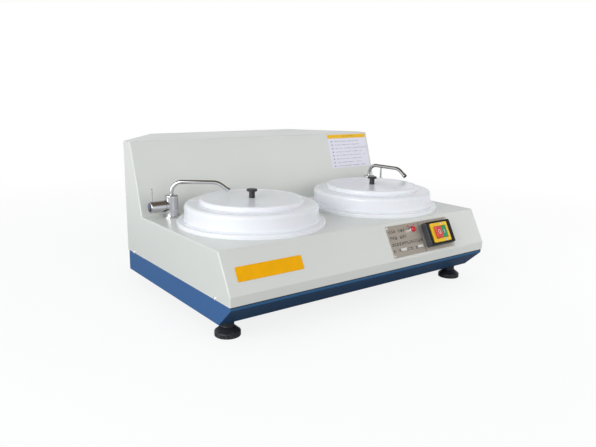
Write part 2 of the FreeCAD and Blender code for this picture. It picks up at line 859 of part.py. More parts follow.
def cover_panels():
    """The cover as the panels that are welded flush into it, each parted from the rest beside a bend."""
    seam, beyond = 2 * sizes.cover_bend, sizes.cutter_reach
    half_width, height = sizes.machine_width / 2, sizes.cover_height - sizes.cover_bottom
    full_width, full_depth = sizes.machine_width + 2 * beyond, sizes.rear_depth + 2 * beyond
    full_height, low = height + 2 * beyond, sizes.cover_bottom - beyond

    def region(name, width, near, far, bottom=low, x=-half_width - beyond):
        return box(f"{name}_region", width, far - near, low + full_height - bottom, x, near, bottom)

    worktop_edge = front + sizes.worktop_front_depth
    roof = region("roof", full_width, front - beyond, rear + beyond, sizes.cover_height - seam)
    wall = region("splash_wall", full_width, splash_foot, splash_top + seam)
    regions = [
        ("left_side_panel", region("left_side", beyond + seam, front - beyond, rear + beyond)),
        ("right_side_panel", region("right_side", beyond + seam, front - beyond, rear + beyond,
                                    x=half_width - seam)),
        ("splash_guard", fuse("splash_guard_region", [roof, wall])),
        ("rear_panel", region("rear", full_width, splash_top + seam, rear + beyond)),
        ("worktop_panel", region("worktop", full_width, worktop_edge, splash_foot)),
        ("front_panel", region("front", full_width, front - beyond, worktop_edge))]
    rest, panels = folded_cover(), []
    for number, (label, tool) in enumerate(regions):
        panel = document.addObject("Part::Common", label)
        panel.Base, panel.Tool, panel.Label = rest, tool, label
        panels.append(panel)
        if number < len(regions) - 1:
            rest = cut(f"cover_without_{label}", rest, [tool])
    return panels


def cover_screws():
    """Round-headed screws through the cover's lower edge into the tray's rim."""
    screws = []
    for number, (x, y, axis, turn) in enumerate(cover_screw_places):
        item = screw(f"cover_screw_{number}", sizes.cover_screw_radius, sizes.cover_screw_head_radius,
                     sizes.cover_screw_head_height, sizes.cover_screw_length)
        screws.append(place(item, x, y, sizes.cover_screw_height, axis, turn))
    return group("cover_screws", screws)


def levelling_feet():
    """Black feet, each moulded round a steel stud that passes through the tray's floor."""
    feet = []
    for name, x, y in foot_places:
        rim, boss = sizes.foot_radius, sizes.foot_boss_radius
        points = [(0, 0), (rim, 0, sizes.small_round), (rim, sizes.foot_rim_height, sizes.medium_round),
                  (boss, sizes.foot_cone_height, sizes.medium_round), (boss, sizes.tray_bottom),
                  (sizes.foot_stud_radius, sizes.tray_bottom),
                  (sizes.foot_stud_radius, tray_floor + sizes.foot_stud_above_tray),
                  (0, tray_floor + sizes.foot_stud_above_tray)]
        feet.append(turned(name, points, x, y))
    return feet


def foot_nuts():
    """Lock nuts on the studs, tightened on the tray's floor."""
    nuts = []
    for name, x, y in foot_places:
        nut = hexagon(f"{name}_nut_block", sizes.foot_nut_flats, sizes.foot_nut_height, x, y, tray_floor)
        thread = cylinder(f"{name}_nut_thread", sizes.foot_stud_radius + sizes.running_gap,
                          sizes.foot_nut_height + sizes.cutter_reach, x, y,
                          tray_floor - sizes.cutter_reach / 2)
        nuts.append(cut(f"{name}_nut", nut, [thread]))
    return nuts


def bolt(name, x, y, seat, length):
    """A hexagon-headed bolt that points down, with the seat of its head at a height."""
    head = hexagon(f"{name}_head", sizes.bolt_flats, sizes.bolt_head_height, x, y, seat)
    shank = cylinder(f"{name}_shank", sizes.bolt_radius, length, x, y, seat - length)
    return fuse(name, [head, shank])


def bolt_square(x, y, radius):
    """The corners of a square of bolts, by the radius of their circle."""
    offset = radius / root(as_size(2))
    return [(x + i * offset, y + j * offset) for i in (-1, 1) for j in (-1, 1)]


housing_bolts = [point for _, sign in SIDES
                 for point in bolt_square(sign * sizes.bowl_offset, bowl_y, sizes.housing_bolt_circle)]
motor_bolts = bolt_square(as_size(0), motor_y, sizes.motor_bolt_circle)
pillar_x = sizes.deck_half_width - sizes.pillar_inset
pillar_places = [(sign * pillar_x, front + depth) for _, sign in SIDES
                 for depth in (sizes.pillar_front_depth, sizes.pillar_middle_depth, sizes.pillar_rear_depth)]
hub_bottom = disc_bottom - sizes.disc_hub_length
bore_top = disc_top - sizes.disc_bore_cover
flank = tangent(sizes.belt_flank)


def deck_plate():
    """Thick plate on pillars that carries both spindles and the motor."""
    bolt_hole = sizes.bolt_radius + sizes.bolt_clearance
    holes = [(x, y, bolt_hole) for x, y in housing_bolts + motor_bolts + pillar_places]
    holes += [(sign * sizes.bowl_offset, bowl_y, sizes.housing_radius + sizes.housing_fit)
              for _, sign in SIDES]
    holes.append((0, motor_y, sizes.motor_spigot_radius + sizes.housing_fit))
    outline = rectangle(-sizes.deck_half_width, front + sizes.deck_front_depth, 2 * sizes.deck_half_width,
                        sizes.deck_rear_depth - sizes.deck_front_depth)
    return plate("deck_plate", "XY_Plane", sizes.deck_bottom, sizes.deck_thickness,
                 rounded(outline, sizes.deck_round), holes)


def deck_pillars():
    """Round pillars between the tray's floor and the deck, tapped for its bolts."""
    pillars = []
    for number, (x, y) in enumerate(pillar_places):
        post = cylinder(f"post_{number}", sizes.pillar_radius, sizes.deck_bottom - tray_floor, x, y,
                        tray_floor)
        thread = cylinder(f"post_{number}_thread", sizes.bolt_radius,
                          sizes.pillar_thread + sizes.cutter_reach, x, y,
                          sizes.deck_bottom - sizes.pillar_thread - sizes.bolt_end)
        pillars.append(cut(f"pillar_{number}", post, [thread]))
    return group("deck_pillars", pillars)


def deck_bolts():
    """Bolts of the spindle housings, the motor and the pillars."""
    flange_seat = deck_top + sizes.housing_flange_thickness
    motor_seat = deck_top + sizes.motor_flange_thickness
    through = sizes.deck_thickness + sizes.bolt_end
    bolts = [bolt(f"housing_bolt_{number}", x, y, flange_seat, sizes.housing_flange_thickness + through)
             for number, (x, y) in enumerate(housing_bolts)]
    bolts += [bolt(f"motor_bolt_{number}", x, y, motor_seat, sizes.motor_flange_thickness + through)
              for number, (x, y) in enumerate(motor_bolts)]
    bolts += [bolt(f"pillar_bolt_{number}", x, y, deck_top, sizes.deck_thickness + sizes.pillar_thread)
              for number, (x, y) in enumerate(pillar_places)]
    return bolts


def basin(name, x):
    """Bowl sunk in the worktop, with a chimney round the spindle and a drain at its back."""
    floor = -sizes.bowl_sunk
    inner = sizes.bowl_radius - sizes.bowl_wall
    chimney = sizes.chimney_bore + sizes.chimney_wall
    bowl = turned(f"{name}_bowl", [
        (sizes.chimney_bore, floor), (sizes.bowl_radius, floor, 2 * sizes.large_round),
        (sizes.bowl_radius, 0),
        (sizes.flange_radius, 0), (sizes.flange_radius, sizes.flange_height, sizes.large_round),
        (inner, sizes.flange_height), (inner, floor + sizes.bowl_wall, sizes.large_round),
        (chimney, floor + sizes.bowl_wall, sizes.large_round),
        (chimney, floor + sizes.chimney_height), (sizes.chimney_bore, floor + sizes.chimney_height)],
        x, bowl_y, worktop)
    drain = (x, bowl_y + sizes.drain_offset)
    spigot = cylinder(f"{name}_spigot", sizes.drain_radius, sizes.drain_length + sizes.bowl_wall / 2, *drain,
                      bowl_floor - sizes.drain_length)
    bore = cylinder(f"{name}_drain_bore", sizes.drain_bore, sizes.drain_length + 2 * sizes.bowl_wall, *drain,
                    bowl_floor - sizes.drain_length - sizes.bowl_wall / 2)
    return cut(f"{name}_basin", fuse(f"{name}_bowl_and_spigot", [bowl, spigot]), [bore])


def splash_ring(name, x):
    """Lift-off ring on the bowl's flange, turned in at the top round the disc."""
    skirt = sizes.bowl_radius - sizes.bowl_wall - sizes.ring_skirt_gap
    outer = sizes.bowl_radius + sizes.ring_overhang
    inner = outer - sizes.ring_wall
    foot = outer + sizes.ring_foot_width
    seat = sizes.flange_height
    under = sizes.ring_top - sizes.ring_wall
    lip = sizes.ring_top - sizes.ring_drip
    return turned(f"{name}_splash_ring", [
        (skirt - sizes.ring_skirt_wall, seat - sizes.ring_skirt), (skirt, seat - sizes.ring_skirt),
        (skirt, seat),
        (foot, seat), (foot, seat + sizes.ring_foot_thickness),
        (outer, seat + sizes.ring_foot_thickness, sizes.ring_foot_round),
        (outer, sizes.ring_top, sizes.ring_round),
        (sizes.ring_opening, sizes.ring_top, sizes.small_round),
        (sizes.ring_opening, lip), (sizes.ring_opening + sizes.ring_skirt_wall, lip),
        (sizes.ring_opening + sizes.ring_skirt_wall, under), (inner, under, sizes.large_round),
        (inner, seat + sizes.ring_wall),
        (skirt - sizes.ring_skirt_wall, seat)], x, bowl_y, worktop)


def lid(name, x):
    """Lid on the splash ring: a skirt round a plate that lies a little below the bright rim."""
    plate_top = sizes.lid_thickness - sizes.lid_recess
    plate_bottom = plate_top - sizes.lid_wall
    rim = sizes.lid_radius - sizes.lid_rim_width
    inner = sizes.lid_radius - sizes.lid_wall
    return turned(f"{name}_lid", [
        (sizes.knob_stud_radius, plate_bottom), (inner, plate_bottom), (inner, 0), (sizes.lid_radius, 0),
        (sizes.lid_radius, sizes.lid_thickness, sizes.lid_round), (rim, sizes.lid_thickness),
        (rim - sizes.lid_recess, plate_top), (sizes.knob_stud_radius, plate_top)],
        x, bowl_y, worktop + sizes.ring_top)


def lid_knob(name, x):
    """Mushroom knob whose stud passes through the lid."""
    head = sizes.knob_height - sizes.knob_head_height
    return turned(f"{name}_lid_knob", [
        (0, -sizes.lid_wall), (sizes.knob_stud_radius, -sizes.lid_wall), (sizes.knob_stud_radius, 0),
        (sizes.knob_stem_radius, 0), (sizes.knob_stem_radius, head, sizes.medium_round),
        (sizes.knob_head_radius, head, sizes.small_round),
        (sizes.knob_head_radius, sizes.knob_height, sizes.medium_round), (0, sizes.knob_height)],
        x, bowl_y, worktop + sizes.ring_top + sizes.lid_thickness - sizes.lid_recess)


def disc(name, x):
    """Polishing disc with its hub, lightened underneath between hub and rim."""
    bottom = -sizes.disc_thickness
    web = bottom + sizes.disc_lightening
    rim = sizes.disc_radius - sizes.disc_rim
    return turned(f"{name}_disc", [
        (sizes.spindle_nose_radius, hub_bottom - disc_top), (sizes.disc_hub_radius, hub_bottom - disc_top),
        (sizes.disc_hub_radius, web, sizes.large_round), (rim, web, sizes.medium_round), (rim, bottom),
        (sizes.disc_radius, bottom),
        (sizes.disc_radius, 0), (0, 0), (0, -sizes.disc_bore_cover),
        (sizes.spindle_nose_radius, -sizes.disc_bore_cover)], x, bowl_y, disc_top)


def cloth(name, x):
    """Polishing cloth, cut to the disc."""
    return cylinder(f"{name}_cloth", sizes.disc_radius, sizes.cloth_thickness, x, bowl_y, disc_top)


def clamp_ring(name, x):
    """Ring pressed over the disc's edge that holds the cloth flat."""
    outer = sizes.disc_radius + sizes.clamp_wall
    inner = sizes.disc_radius - sizes.clamp_overlap
    top = sizes.cloth_thickness + sizes.clamp_lip
    return turned(f"{name}_clamp_ring", [
        (sizes.disc_radius, top - sizes.clamp_height), (outer, top - sizes.clamp_height),
        (outer, top, sizes.small_round), (inner, top), (inner, sizes.cloth_thickness),
        (sizes.disc_radius, sizes.cloth_thickness)],
        x, bowl_y, disc_top)


def spindle(name, x):
    """Spindle with a collar over the upper bearing, a seat for the disc and a tail for the pulley."""
    collar = sizes.housing_top + sizes.running_gap
    collar_top = collar + sizes.spindle_collar_height
    shoulder = sizes.housing_bottom - sizes.bolt_end
    nose = bore_top - sizes.hole_clearance
    return turned(f"{name}_spindle", [
        (0, sizes.spindle_tail_end), (sizes.spindle_tail_radius, sizes.spindle_tail_end, sizes.small_round),
        (sizes.spindle_tail_radius, shoulder), (sizes.spindle_radius, shoulder),
        (sizes.spindle_radius, collar), (sizes.spindle_collar_radius, collar),
        (sizes.spindle_collar_radius, collar_top),
        (sizes.spindle_radius, collar_top), (sizes.spindle_radius, hub_bottom),
        (sizes.spindle_nose_radius, hub_bottom), (sizes.spindle_nose_radius, nose, sizes.small_round),
        (0, nose)], x, bowl_y)


def spindle_housing(name, x):
    """Flanged casting that holds a spindle's bearings and hangs through the deck."""
    flange_top = deck_top + sizes.housing_flange_thickness
    shoulder = sizes.bearing_radius - sizes.housing_shoulder
    body = turned(f"{name}_housing_casting", [
        (sizes.bearing_radius, sizes.housing_bottom), (sizes.housing_radius, sizes.housing_bottom),
        (sizes.housing_radius, deck_top), (sizes.housing_flange_radius, deck_top),
        (sizes.housing_flange_radius, flange_top, sizes.medium_round),
        (sizes.housing_radius, flange_top, sizes.large_round),
        (sizes.housing_radius, sizes.housing_top, sizes.medium_round),
        (sizes.bearing_radius, sizes.housing_top),
        (sizes.bearing_radius, sizes.housing_top - sizes.bearing_width),
        (shoulder, sizes.housing_top - sizes.bearing_width),
        (shoulder, sizes.housing_bottom + sizes.bearing_width),
        (sizes.bearing_radius, sizes.housing_bottom + sizes.bearing_width)], x, bowl_y)
    holes = [cylinder(f"{name}_housing_hole_{number}", sizes.bolt_radius + sizes.bolt_clearance,
                      sizes.housing_flange_thickness + sizes.cutter_reach, hole_x, hole_y, sizes.deck_bottom)
             for number, (hole_x, hole_y) in enumerate(bolt_square(x, bowl_y, sizes.housing_bolt_circle))]
    return cut(f"{name}_spindle_housing", body, holes)


def bearings(name, x):
    """Both ball bearings of a spindle, each drawn as one ring with its shields set back."""
    bore = sizes.spindle_radius + sizes.running_gap
    inner, outer = sizes.bearing_inner_ring, sizes.bearing_outer_ring
    width, groove = sizes.bearing_width, sizes.bearing_groove
    outline = [(bore, 0), (inner, 0), (inner, groove), (outer, groove), (outer, 0), (sizes.bearing_radius, 0),
               (sizes.bearing_radius, width), (outer, width), (outer, width - groove),
               (inner, width - groove),
               (inner, width), (bore, width)]
    return [turned(f"{name}_{level}_bearing", outline, x, bowl_y, z)
            for level, z in (("lower", sizes.housing_bottom), ("upper", sizes.housing_top - width))]


def groove_points(pitch, height):
    """The outline of a belt groove, from its lower to its upper lip."""
    outer, bottom = pitch + sizes.pulley_rim, pitch - sizes.belt_below_pitch - sizes.belt_gap
    lip = sizes.belt_width / 2 + sizes.belt_gap + (sizes.pulley_rim - sizes.belt_above_pitch) * flank
    root_half = lip - (outer - bottom) * flank
    return [(outer, height - lip), (bottom, height - root_half), (bottom, height + root_half),
            (outer, height + lip)]


def spindle_pulley(name, x, height):
    """Webbed pulley on a spindle's tail."""
    pitch = sizes.spindle_pulley_pitch
    outer = pitch + sizes.pulley_rim
    rim = pitch - sizes.belt_below_pitch - sizes.belt_gap - sizes.pulley_rim_wall
    low, high = height - sizes.pulley_width / 2, height + sizes.pulley_width / 2
    web_low, web_high = height - sizes.pulley_web / 2, height + sizes.pulley_web / 2
    hub = sizes.pulley_hub_radius
    return turned(f"{name}_spindle_pulley", [
        (sizes.spindle_tail_radius, low), (hub, low), (hub, web_low), (rim, web_low), (rim, low),
        (outer, low),
        *groove_points(pitch, height), (outer, high), (rim, high), (rim, web_high), (hub, web_high),
        (hub, high), (sizes.spindle_tail_radius, high)], x, bowl_y)


def motor_pulley():
    """Two-groove pulley on the motor's shaft."""
    pitch = sizes.motor_pulley_pitch
    outer = pitch + sizes.pulley_rim
    low = sizes.left_belt_height - sizes.pulley_width / 2
    high = sizes.right_belt_height + sizes.pulley_width / 2
    return turned("motor_pulley", [
        (sizes.motor_shaft_radius, low), (outer, low), *groove_points(pitch, sizes.left_belt_height),
        *groove_points(pitch, sizes.right_belt_height), (outer, high), (sizes.motor_shaft_radius, high)],
        0, motor_y)


def belt(name, sign, height):
    """V-belt from the motor to a spindle: two wraps and two straight runs, tangent to both pulleys."""
    big, small = sizes.spindle_pulley_pitch, sizes.motor_pulley_pitch
    across, along = sign * sizes.bowl_offset, bowl_y - motor_y
    distance = root(across * across + along * along)
    lean = arc_sine((big - small) / distance)
    heading = angle_of(along, across)
    run = distance * cosine(lean)
    half = sizes.belt_width / 2
    inner_half = half - (sizes.belt_above_pitch + sizes.belt_below_pitch) * flank

    def section(pitch, side=1):
        outer, inner = side * (pitch + sizes.belt_above_pitch), side * (pitch - sizes.belt_below_pitch)
        return [(inner, height - inner_half), (outer, height - half), (outer, height + half),
                (inner, height + inner_half)]

    pieces = []
    for end, pitch, x, y, wrap, turn in (
            ("spindle", big, across, bowl_y, 180 + 2 * lean, heading),
            ("motor", small, 0, motor_y, 180 - 2 * lean, heading + 180)):
        body = new_body(f"{name}_belt_{end}_wrap")
        arc = revolve(body, draw_outline(new_sketch(body, "XZ_Plane"), section(pitch)))
        arc.Midplane = True
        bind(arc, Angle=wrap)
        pieces.append(place(body, x, y, 0, turn=turn))
    for side in (1, -1):
        body = new_body(f"{name}_belt_run")
        pad(body, draw_outline(new_sketch(body, "YZ_Plane"), section(small, side)), run)
        pieces.append(place(body, 0, motor_y, 0, turn=heading + side * lean))
    return fuse(f"{name}_belt", pieces)


def motor_frame():
    """Finned motor frame with its flange, spigot and terminal box."""
    bore = sizes.motor_shaft_radius + sizes.running_gap
    flange_top = deck_top + sizes.motor_flange_thickness
    body = turned("motor_casting", [
        (bore, sizes.deck_bottom), (sizes.motor_spigot_radius, sizes.deck_bottom),
        (sizes.motor_spigot_radius, deck_top), (sizes.motor_flange_radius, deck_top),
        (sizes.motor_flange_radius, flange_top, sizes.medium_round), (sizes.motor_frame_radius, flange_top),
        (sizes.motor_frame_radius, sizes.motor_frame_top), (bore, sizes.motor_frame_top),
        (bore, sizes.motor_cavity_top), (sizes.motor_cavity_radius, sizes.motor_cavity_top),
        (sizes.motor_cavity_radius, sizes.motor_cavity_bottom), (bore, sizes.motor_cavity_bottom)],
        0, motor_y)
    buried = sizes.motor_frame_radius - sizes.large_round
    fin = new_sketch(body, "XY_Plane", sizes.motor_fin_bottom)
    draw_outline(fin, rectangle(buried, -sizes.motor_fin_width / 2, sizes.motor_fin_radius - buried,
                                sizes.motor_fin_width))
    first_fin = pad(body, fin, sizes.motor_frame_top - sizes.motor_fin_bottom)
    fins = body.newObject("PartDesign::PolarPattern", "motor_fins")
    fins.Originals = [first_fin]
    fins.Axis = (fin, ["N_Axis"])
    fins.Angle = 360
    bind(fins, Occurrences=sizes.motor_fin_count)
    body.Tip = fins
    terminals = new_sketch(body, "XY_Plane", sizes.terminal_box_low)
    draw_outline(terminals, rounded(rectangle(
        buried, -sizes.terminal_box_width / 2, sizes.motor_fin_radius - buried + sizes.terminal_box_depth,
        sizes.terminal_box_width), sizes.medium_round))
    pad(body, terminals, sizes.terminal_box_height)
    holes = [cylinder(f"motor_flange_hole_{number}", sizes.bolt_radius + sizes.bolt_clearance,
                      sizes.motor_flange_thickness + sizes.bolt_end, x, y, deck_top - sizes.bolt_end / 2)
             for number, (x, y) in enumerate(motor_bolts)]
    return cut("motor_frame", body, holes)


def motor_cowl():
    """Slotted fan cowl on top of the motor's fins."""
    outer, wall = sizes.motor_fin_radius, sizes.motor_cowl_wall
    base, top = sizes.motor_frame_top, sizes.motor_cowl_top
    cap = turned("motor_cowl_cap", [
        (outer - wall, base), (outer, base), (outer, top, sizes.motor_cowl_round), (0, top), (0, top - wall),
        (outer - wall, top - wall, sizes.motor_cowl_round - wall)], 0, motor_y)
    slots = []
    for number in range(SIZES["cowl_slot_count"]):
        x = (number - (SIZES["cowl_slot_count"] - 1) / 2) * sizes.cowl_slot_pitch
        slots.append(box(f"cowl_slot_{number}", sizes.cowl_slot_width, sizes.cowl_slot_length, 3 * wall,
                         x - sizes.cowl_slot_width / 2, motor_y - sizes.cowl_slot_length / 2, top - 2 * wall))
    return cut("motor_cowl", cap, slots)


def motor_rotor():
    """Rotor with its shaft and fan."""
    shaft, core = sizes.motor_shaft_radius, sizes.motor_cavity_radius - sizes.motor_air_gap
    low = sizes.motor_cavity_bottom + sizes.motor_end_gap
    high = sizes.motor_cavity_top - sizes.motor_end_gap
    fan_top = sizes.motor_fan_bottom + sizes.motor_fan_thickness
    return turned("motor_rotor", [
        (0, sizes.spindle_tail_end), (shaft, sizes.spindle_tail_end), (shaft, low), (core, low), (core, high),
        (shaft, high), (shaft, sizes.motor_fan_bottom), (sizes.motor_fan_radius, sizes.motor_fan_bottom),
        (sizes.motor_fan_radius, fan_top), (0, fan_top)], 0, motor_y)


def tap_body(name, sign, x):
    """Tap body on the worktop, with its outward barrel, its pin for the handle and its tail below."""
    bore = sizes.spout_radius - sizes.spout_wall
    socket = sizes.tap_body_height - sizes.spout_socket
    column = turned(f"{name}_tap_column", [
        (bore, -sizes.tap_tail_length), (sizes.tap_tail_radius, -sizes.tap_tail_length),
        (sizes.tap_tail_radius, 0), (sizes.tap_flange_radius, 0),
        (sizes.tap_flange_radius, sizes.tap_flange_height, sizes.small_round),
        (sizes.tap_body_radius, sizes.tap_flange_height),
        (sizes.tap_body_radius, sizes.tap_body_height, sizes.large_round),
        (sizes.spout_radius + sizes.running_gap, sizes.tap_body_height),
        (sizes.spout_radius + sizes.running_gap, socket), (bore, socket)], x, tap_y, worktop)
    barrel = turned(f"{name}_tap_barrel", [
        (0, sizes.tap_body_radius / 2), (sizes.tap_barrel_radius, sizes.tap_body_radius / 2),
        (sizes.tap_barrel_radius, sizes.tap_stub_length), (sizes.tap_pin_radius, sizes.tap_stub_length),
        (sizes.tap_pin_radius, sizes.tap_stub_length + sizes.tap_pin_length),
        (0, sizes.tap_stub_length + sizes.tap_pin_length)], x, tap_y, tap_axis_z, SIDEWAYS, 90 * sign)
    return fuse(f"{name}_tap_body", [column, barrel])


def tap_handle(name, sign, x):
    """Turning end of the barrel with its upright lever."""
    low = sizes.tap_stub_length + sizes.tap_joint_gap
    bore = sizes.tap_pin_radius + sizes.running_gap
    pin_end = sizes.tap_stub_length + sizes.tap_pin_length + sizes.tap_joint_gap
    hub = turned(f"{name}_tap_hub", [
        (bore, low), (sizes.tap_barrel_radius, low, sizes.small_round),
        (sizes.tap_barrel_radius, sizes.tap_handle_end, sizes.medium_round), (0, sizes.tap_handle_end),
        (0, pin_end), (bore, pin_end)], x, tap_y, tap_axis_z, SIDEWAYS, 90 * sign)
    foot = sizes.tap_barrel_radius / 2
    lever = turned(f"{name}_tap_lever", [
        (0, foot), (sizes.lever_foot_radius, foot),
        (sizes.lever_tip_radius, sizes.lever_reach, sizes.medium_round),
        (0, sizes.lever_reach)], x + sign * sizes.lever_offset, tap_y, tap_axis_z)
    return fuse(f"{name}_tap_handle", [hub, lever])


def spout(name, x, angle):
    """Bent tube that swings in the tap's top, with a thicker nozzle at its tip."""
    riser = sizes.tap_body_height - sizes.spout_socket
    run = sizes.spout_tip_reach - sizes.spout_bend_reach
    tip_height = sizes.spout_run_height - run * tangent(sizes.spout_dip)
    path = [(0, riser), (0, sizes.spout_run_height, sizes.spout_elbow),
            (sizes.spout_bend_reach, sizes.spout_run_height, sizes.spout_bend),
            (sizes.spout_tip_reach, tip_height)]
    bore = sizes.spout_radius - sizes.spout_wall
    tube = swept(f"{name}_spout_tube", path, [sizes.spout_radius, bore])
    nozzle = turned(f"{name}_nozzle", [
        (bore + sizes.spout_wall / 2, 0), (sizes.spout_nozzle_radius, 0),
        (sizes.spout_nozzle_radius, sizes.spout_nozzle_length),
        (bore + sizes.spout_wall / 2, sizes.spout_nozzle_length)],
        sizes.spout_tip_reach, 0, tip_height, SIDEWAYS, sizes.spout_dip - 90)
    whole = fuse(f"{name}_spout", [tube, nozzle])
    return place(whole, x, tap_y, worktop, turn=angle)


def tap_nuts():
    """Back nuts that clamp the taps under the worktop."""
    nuts = []
    for name, sign in SIDES:
        x, z = sign * sizes.tap_offset, worktop - sizes.cover_wall - sizes.tap_nut_height
        nut = hexagon(f"{name}_tap_nut_block", sizes.tap_nut_flats, sizes.tap_nut_height, x, tap_y, z)
        thread = cylinder(f"{name}_tap_nut_thread", sizes.tap_tail_radius + sizes.running_gap,
                          sizes.tap_nut_height + sizes.cutter_reach, x, tap_y, z - sizes.cutter_reach / 2)
        nuts.append(cut(f"{name}_tap_nut", nut, [thread]))
    return nuts


def control_plate():
    """Bright plate on the slope, with a groove between its blank half and the switch half."""
    outline = rectangle(sizes.plate_left, sizes.plate_low, sizes.plate_width, sizes.plate_height)
    holes = [(x, up, sizes.plate_screw_radius + sizes.hole_clearance) for x, up in plate_screw_places]
    holes.append((lamp_x, sizes.lamp_height, sizes.lamp_thread_radius + sizes.hole_clearance))
    body = plate("control_plate", "XY_Plane", 0, sizes.plate_thickness,
                 rounded(outline, sizes.medium_round), holes)
    cut_through(body, switch_window(new_sketch(body, "XY_Plane")))
    groove = new_sketch(body, "XY_Plane", sizes.plate_thickness)
    beyond = sizes.plate_screw_inset
    groove_left = sizes.plate_left + sizes.plate_groove_offset - sizes.plate_groove_width / 2
    draw_outline(groove, rectangle(groove_left, sizes.plate_low - beyond, sizes.plate_groove_width,
                                   sizes.plate_height + 2 * beyond))
    pocket(body, groove, sizes.plate_groove_cut)
    return on_slope(body)


face_x = switch_x - sizes.switch_face_shift
stop_x = face_x - sizes.button_pitch / 2 + sizes.button_shift
start_x = face_x + sizes.button_pitch / 2 + sizes.button_shift
face_screw_x = face_x + sizes.button_shift + sizes.face_screw_shift
face_screw_places = [(face_screw_x, switch_up + side * sizes.face_screw_offset) for side in (-1, 1)]


def panel_screws():
    """Small screws in the plate's corners and in the switch's face."""
    screws = []
    for number, (x, up) in enumerate(plate_screw_places):
        item = screw(f"plate_screw_{number}", sizes.plate_screw_radius, sizes.plate_screw_head_radius,
                     sizes.plate_screw_head_height, sizes.plate_screw_length)
        screws.append(on_slope(item, x, up, sizes.plate_thickness))
    for number, (x, up) in enumerate(face_screw_places):
        item = screw(f"face_screw_{number}", sizes.plate_screw_radius, sizes.face_screw_radius,
                     sizes.face_screw_height, sizes.plate_screw_length)
        screws.append(on_slope(item, x, up, sizes.switch_proud + sizes.switch_face_thickness))
    return group("panel_screws", screws)


def lamp_bezel():
    """Threaded bezel of the pilot lamp."""
    item = turned("lamp_bezel", [
        (0, -sizes.lamp_thread_length), (sizes.lamp_thread_radius, -sizes.lamp_thread_length),
        (sizes.lamp_thread_radius, 0), (sizes.lamp_bezel_radius, 0),
        (sizes.lamp_bezel_radius, sizes.lamp_bezel_height, sizes.small_round),
        (sizes.lamp_lens_radius, sizes.lamp_bezel_height),
        (sizes.lamp_lens_radius, sizes.lamp_bezel_height / 3), (0, sizes.lamp_bezel_height / 3)])
    return on_slope(item, lamp_x, sizes.lamp_height, sizes.plate_thickness)


def lamp_lens():
    """Domed lens of the pilot lamp."""
    base = sizes.lamp_bezel_height / 3
    item = turned("lamp_lens", [
        (0, base), (sizes.lamp_lens_radius, base),
        (sizes.lamp_lens_radius, sizes.lamp_lens_height, sizes.lamp_lens_round), (0, sizes.lamp_lens_height)])
    return on_slope(item, lamp_x, sizes.lamp_height, sizes.plate_thickness)


def switch_housing():
    """Black switch box with its well for the buttons and its block behind the panel."""
    body = new_body("switch_box")
    outer = new_sketch(body, "XY_Plane", sizes.plate_thickness)
    draw_outline(outer, rounded(rectangle(sizes.switch_left, sizes.switch_low, sizes.switch_width,
                                          sizes.switch_height), sizes.switch_round))
    shell = pad(body, outer, sizes.switch_proud - sizes.plate_thickness)
    top = sizes.switch_proud.number
    round_edges(body, shell, sizes.medium_round, lambda edge: edge.BoundBox.ZMin > top - 0.01)
    block = new_sketch(body, "XY_Plane", -sizes.switch_block_depth)
    draw_outline(block, rectangle(switch_x - block_width / 2, switch_up - block_height / 2, block_width,
                                  block_height))
    pad(body, block, sizes.switch_block_depth + sizes.plate_thickness + sizes.small_round)
    well = new_sketch(body, "XY_Plane", sizes.switch_proud)
    draw_outline(well, rectangle(stop_x - sizes.button_width / 2 - sizes.button_gap,
                                 switch_up - sizes.button_height / 2 - sizes.button_catch - sizes.button_gap,
                                 sizes.button_pitch + sizes.button_width + 2 * sizes.button_gap,
                                 sizes.button_height + 2 * (sizes.button_catch + sizes.button_gap)))
    pocket(body, well, sizes.switch_well_depth)
    holes = [on_slope(cylinder(f"housing_screw_hole_{number}", sizes.plate_screw_radius, sizes.cutter_reach),
                      x, up, sizes.switch_proud - sizes.plate_screw_length)
             for number, (x, up) in enumerate(face_screw_places)]
    return cut("switch_housing", on_slope(body), holes)


def switch_face():
    """Yellow face of the switch, open round both buttons."""
    width, height = sizes.switch_face_width, sizes.switch_face_height
    body = plate("switch_face", "XY_Plane", sizes.switch_proud, sizes.switch_face_thickness,
                 rounded(rectangle(face_x - width / 2, switch_up - height / 2, width, height),
                         sizes.switch_face_round),
                 [(x, up, sizes.plate_screw_radius + sizes.hole_clearance) for x, up in face_screw_places])
    for x in (stop_x, start_x):
        window = new_sketch(body, "XY_Plane", sizes.switch_proud)
        draw_outline(window, rectangle(x - sizes.button_width / 2 - sizes.button_gap,
                                       switch_up - sizes.button_height / 2 - sizes.button_gap,
                                       sizes.button_width + 2 * sizes.button_gap,
                                       sizes.button_height + 2 * sizes.button_gap))
        cut_through(body, window)
    return on_slope(body)


def button(label, x, proud):
    """Push button with a catch above and below that keeps it behind the face."""
    body = new_body(label)
    bottom = sizes.switch_proud - sizes.button_body
    width, height = sizes.button_width, sizes.button_height
    catch = new_sketch(body, "XY_Plane", bottom)
    draw_outline(catch, rectangle(x - width / 2, switch_up - height / 2 - sizes.button_catch, width,
                                  height + 2 * sizes.button_catch))
    pad(body, catch, sizes.button_catch)
    cap = new_sketch(body, "XY_Plane", bottom)
    draw_outline(cap, rounded(rectangle(x - width / 2, switch_up - height / 2, width, height),
                              sizes.medium_round))
    key = pad(body, cap, sizes.button_body + sizes.switch_face_thickness + proud)
    top = (sizes.switch_proud + sizes.switch_face_thickness + proud).number
    round_edges(body, key, sizes.button_round, lambda edge: edge.BoundBox.ZMin > top - 0.01)
    return on_slope(body)


def name_plate():
    """Bare name plate on the left of the slope."""
    outline = rounded(rectangle(sizes.name_plate_left, sizes.name_plate_low, sizes.name_plate_width,
                                sizes.name_plate_height), sizes.large_round)
    return on_slope(plate("name_plate", "XY_Plane", 0, sizes.name_plate_thickness, outline))


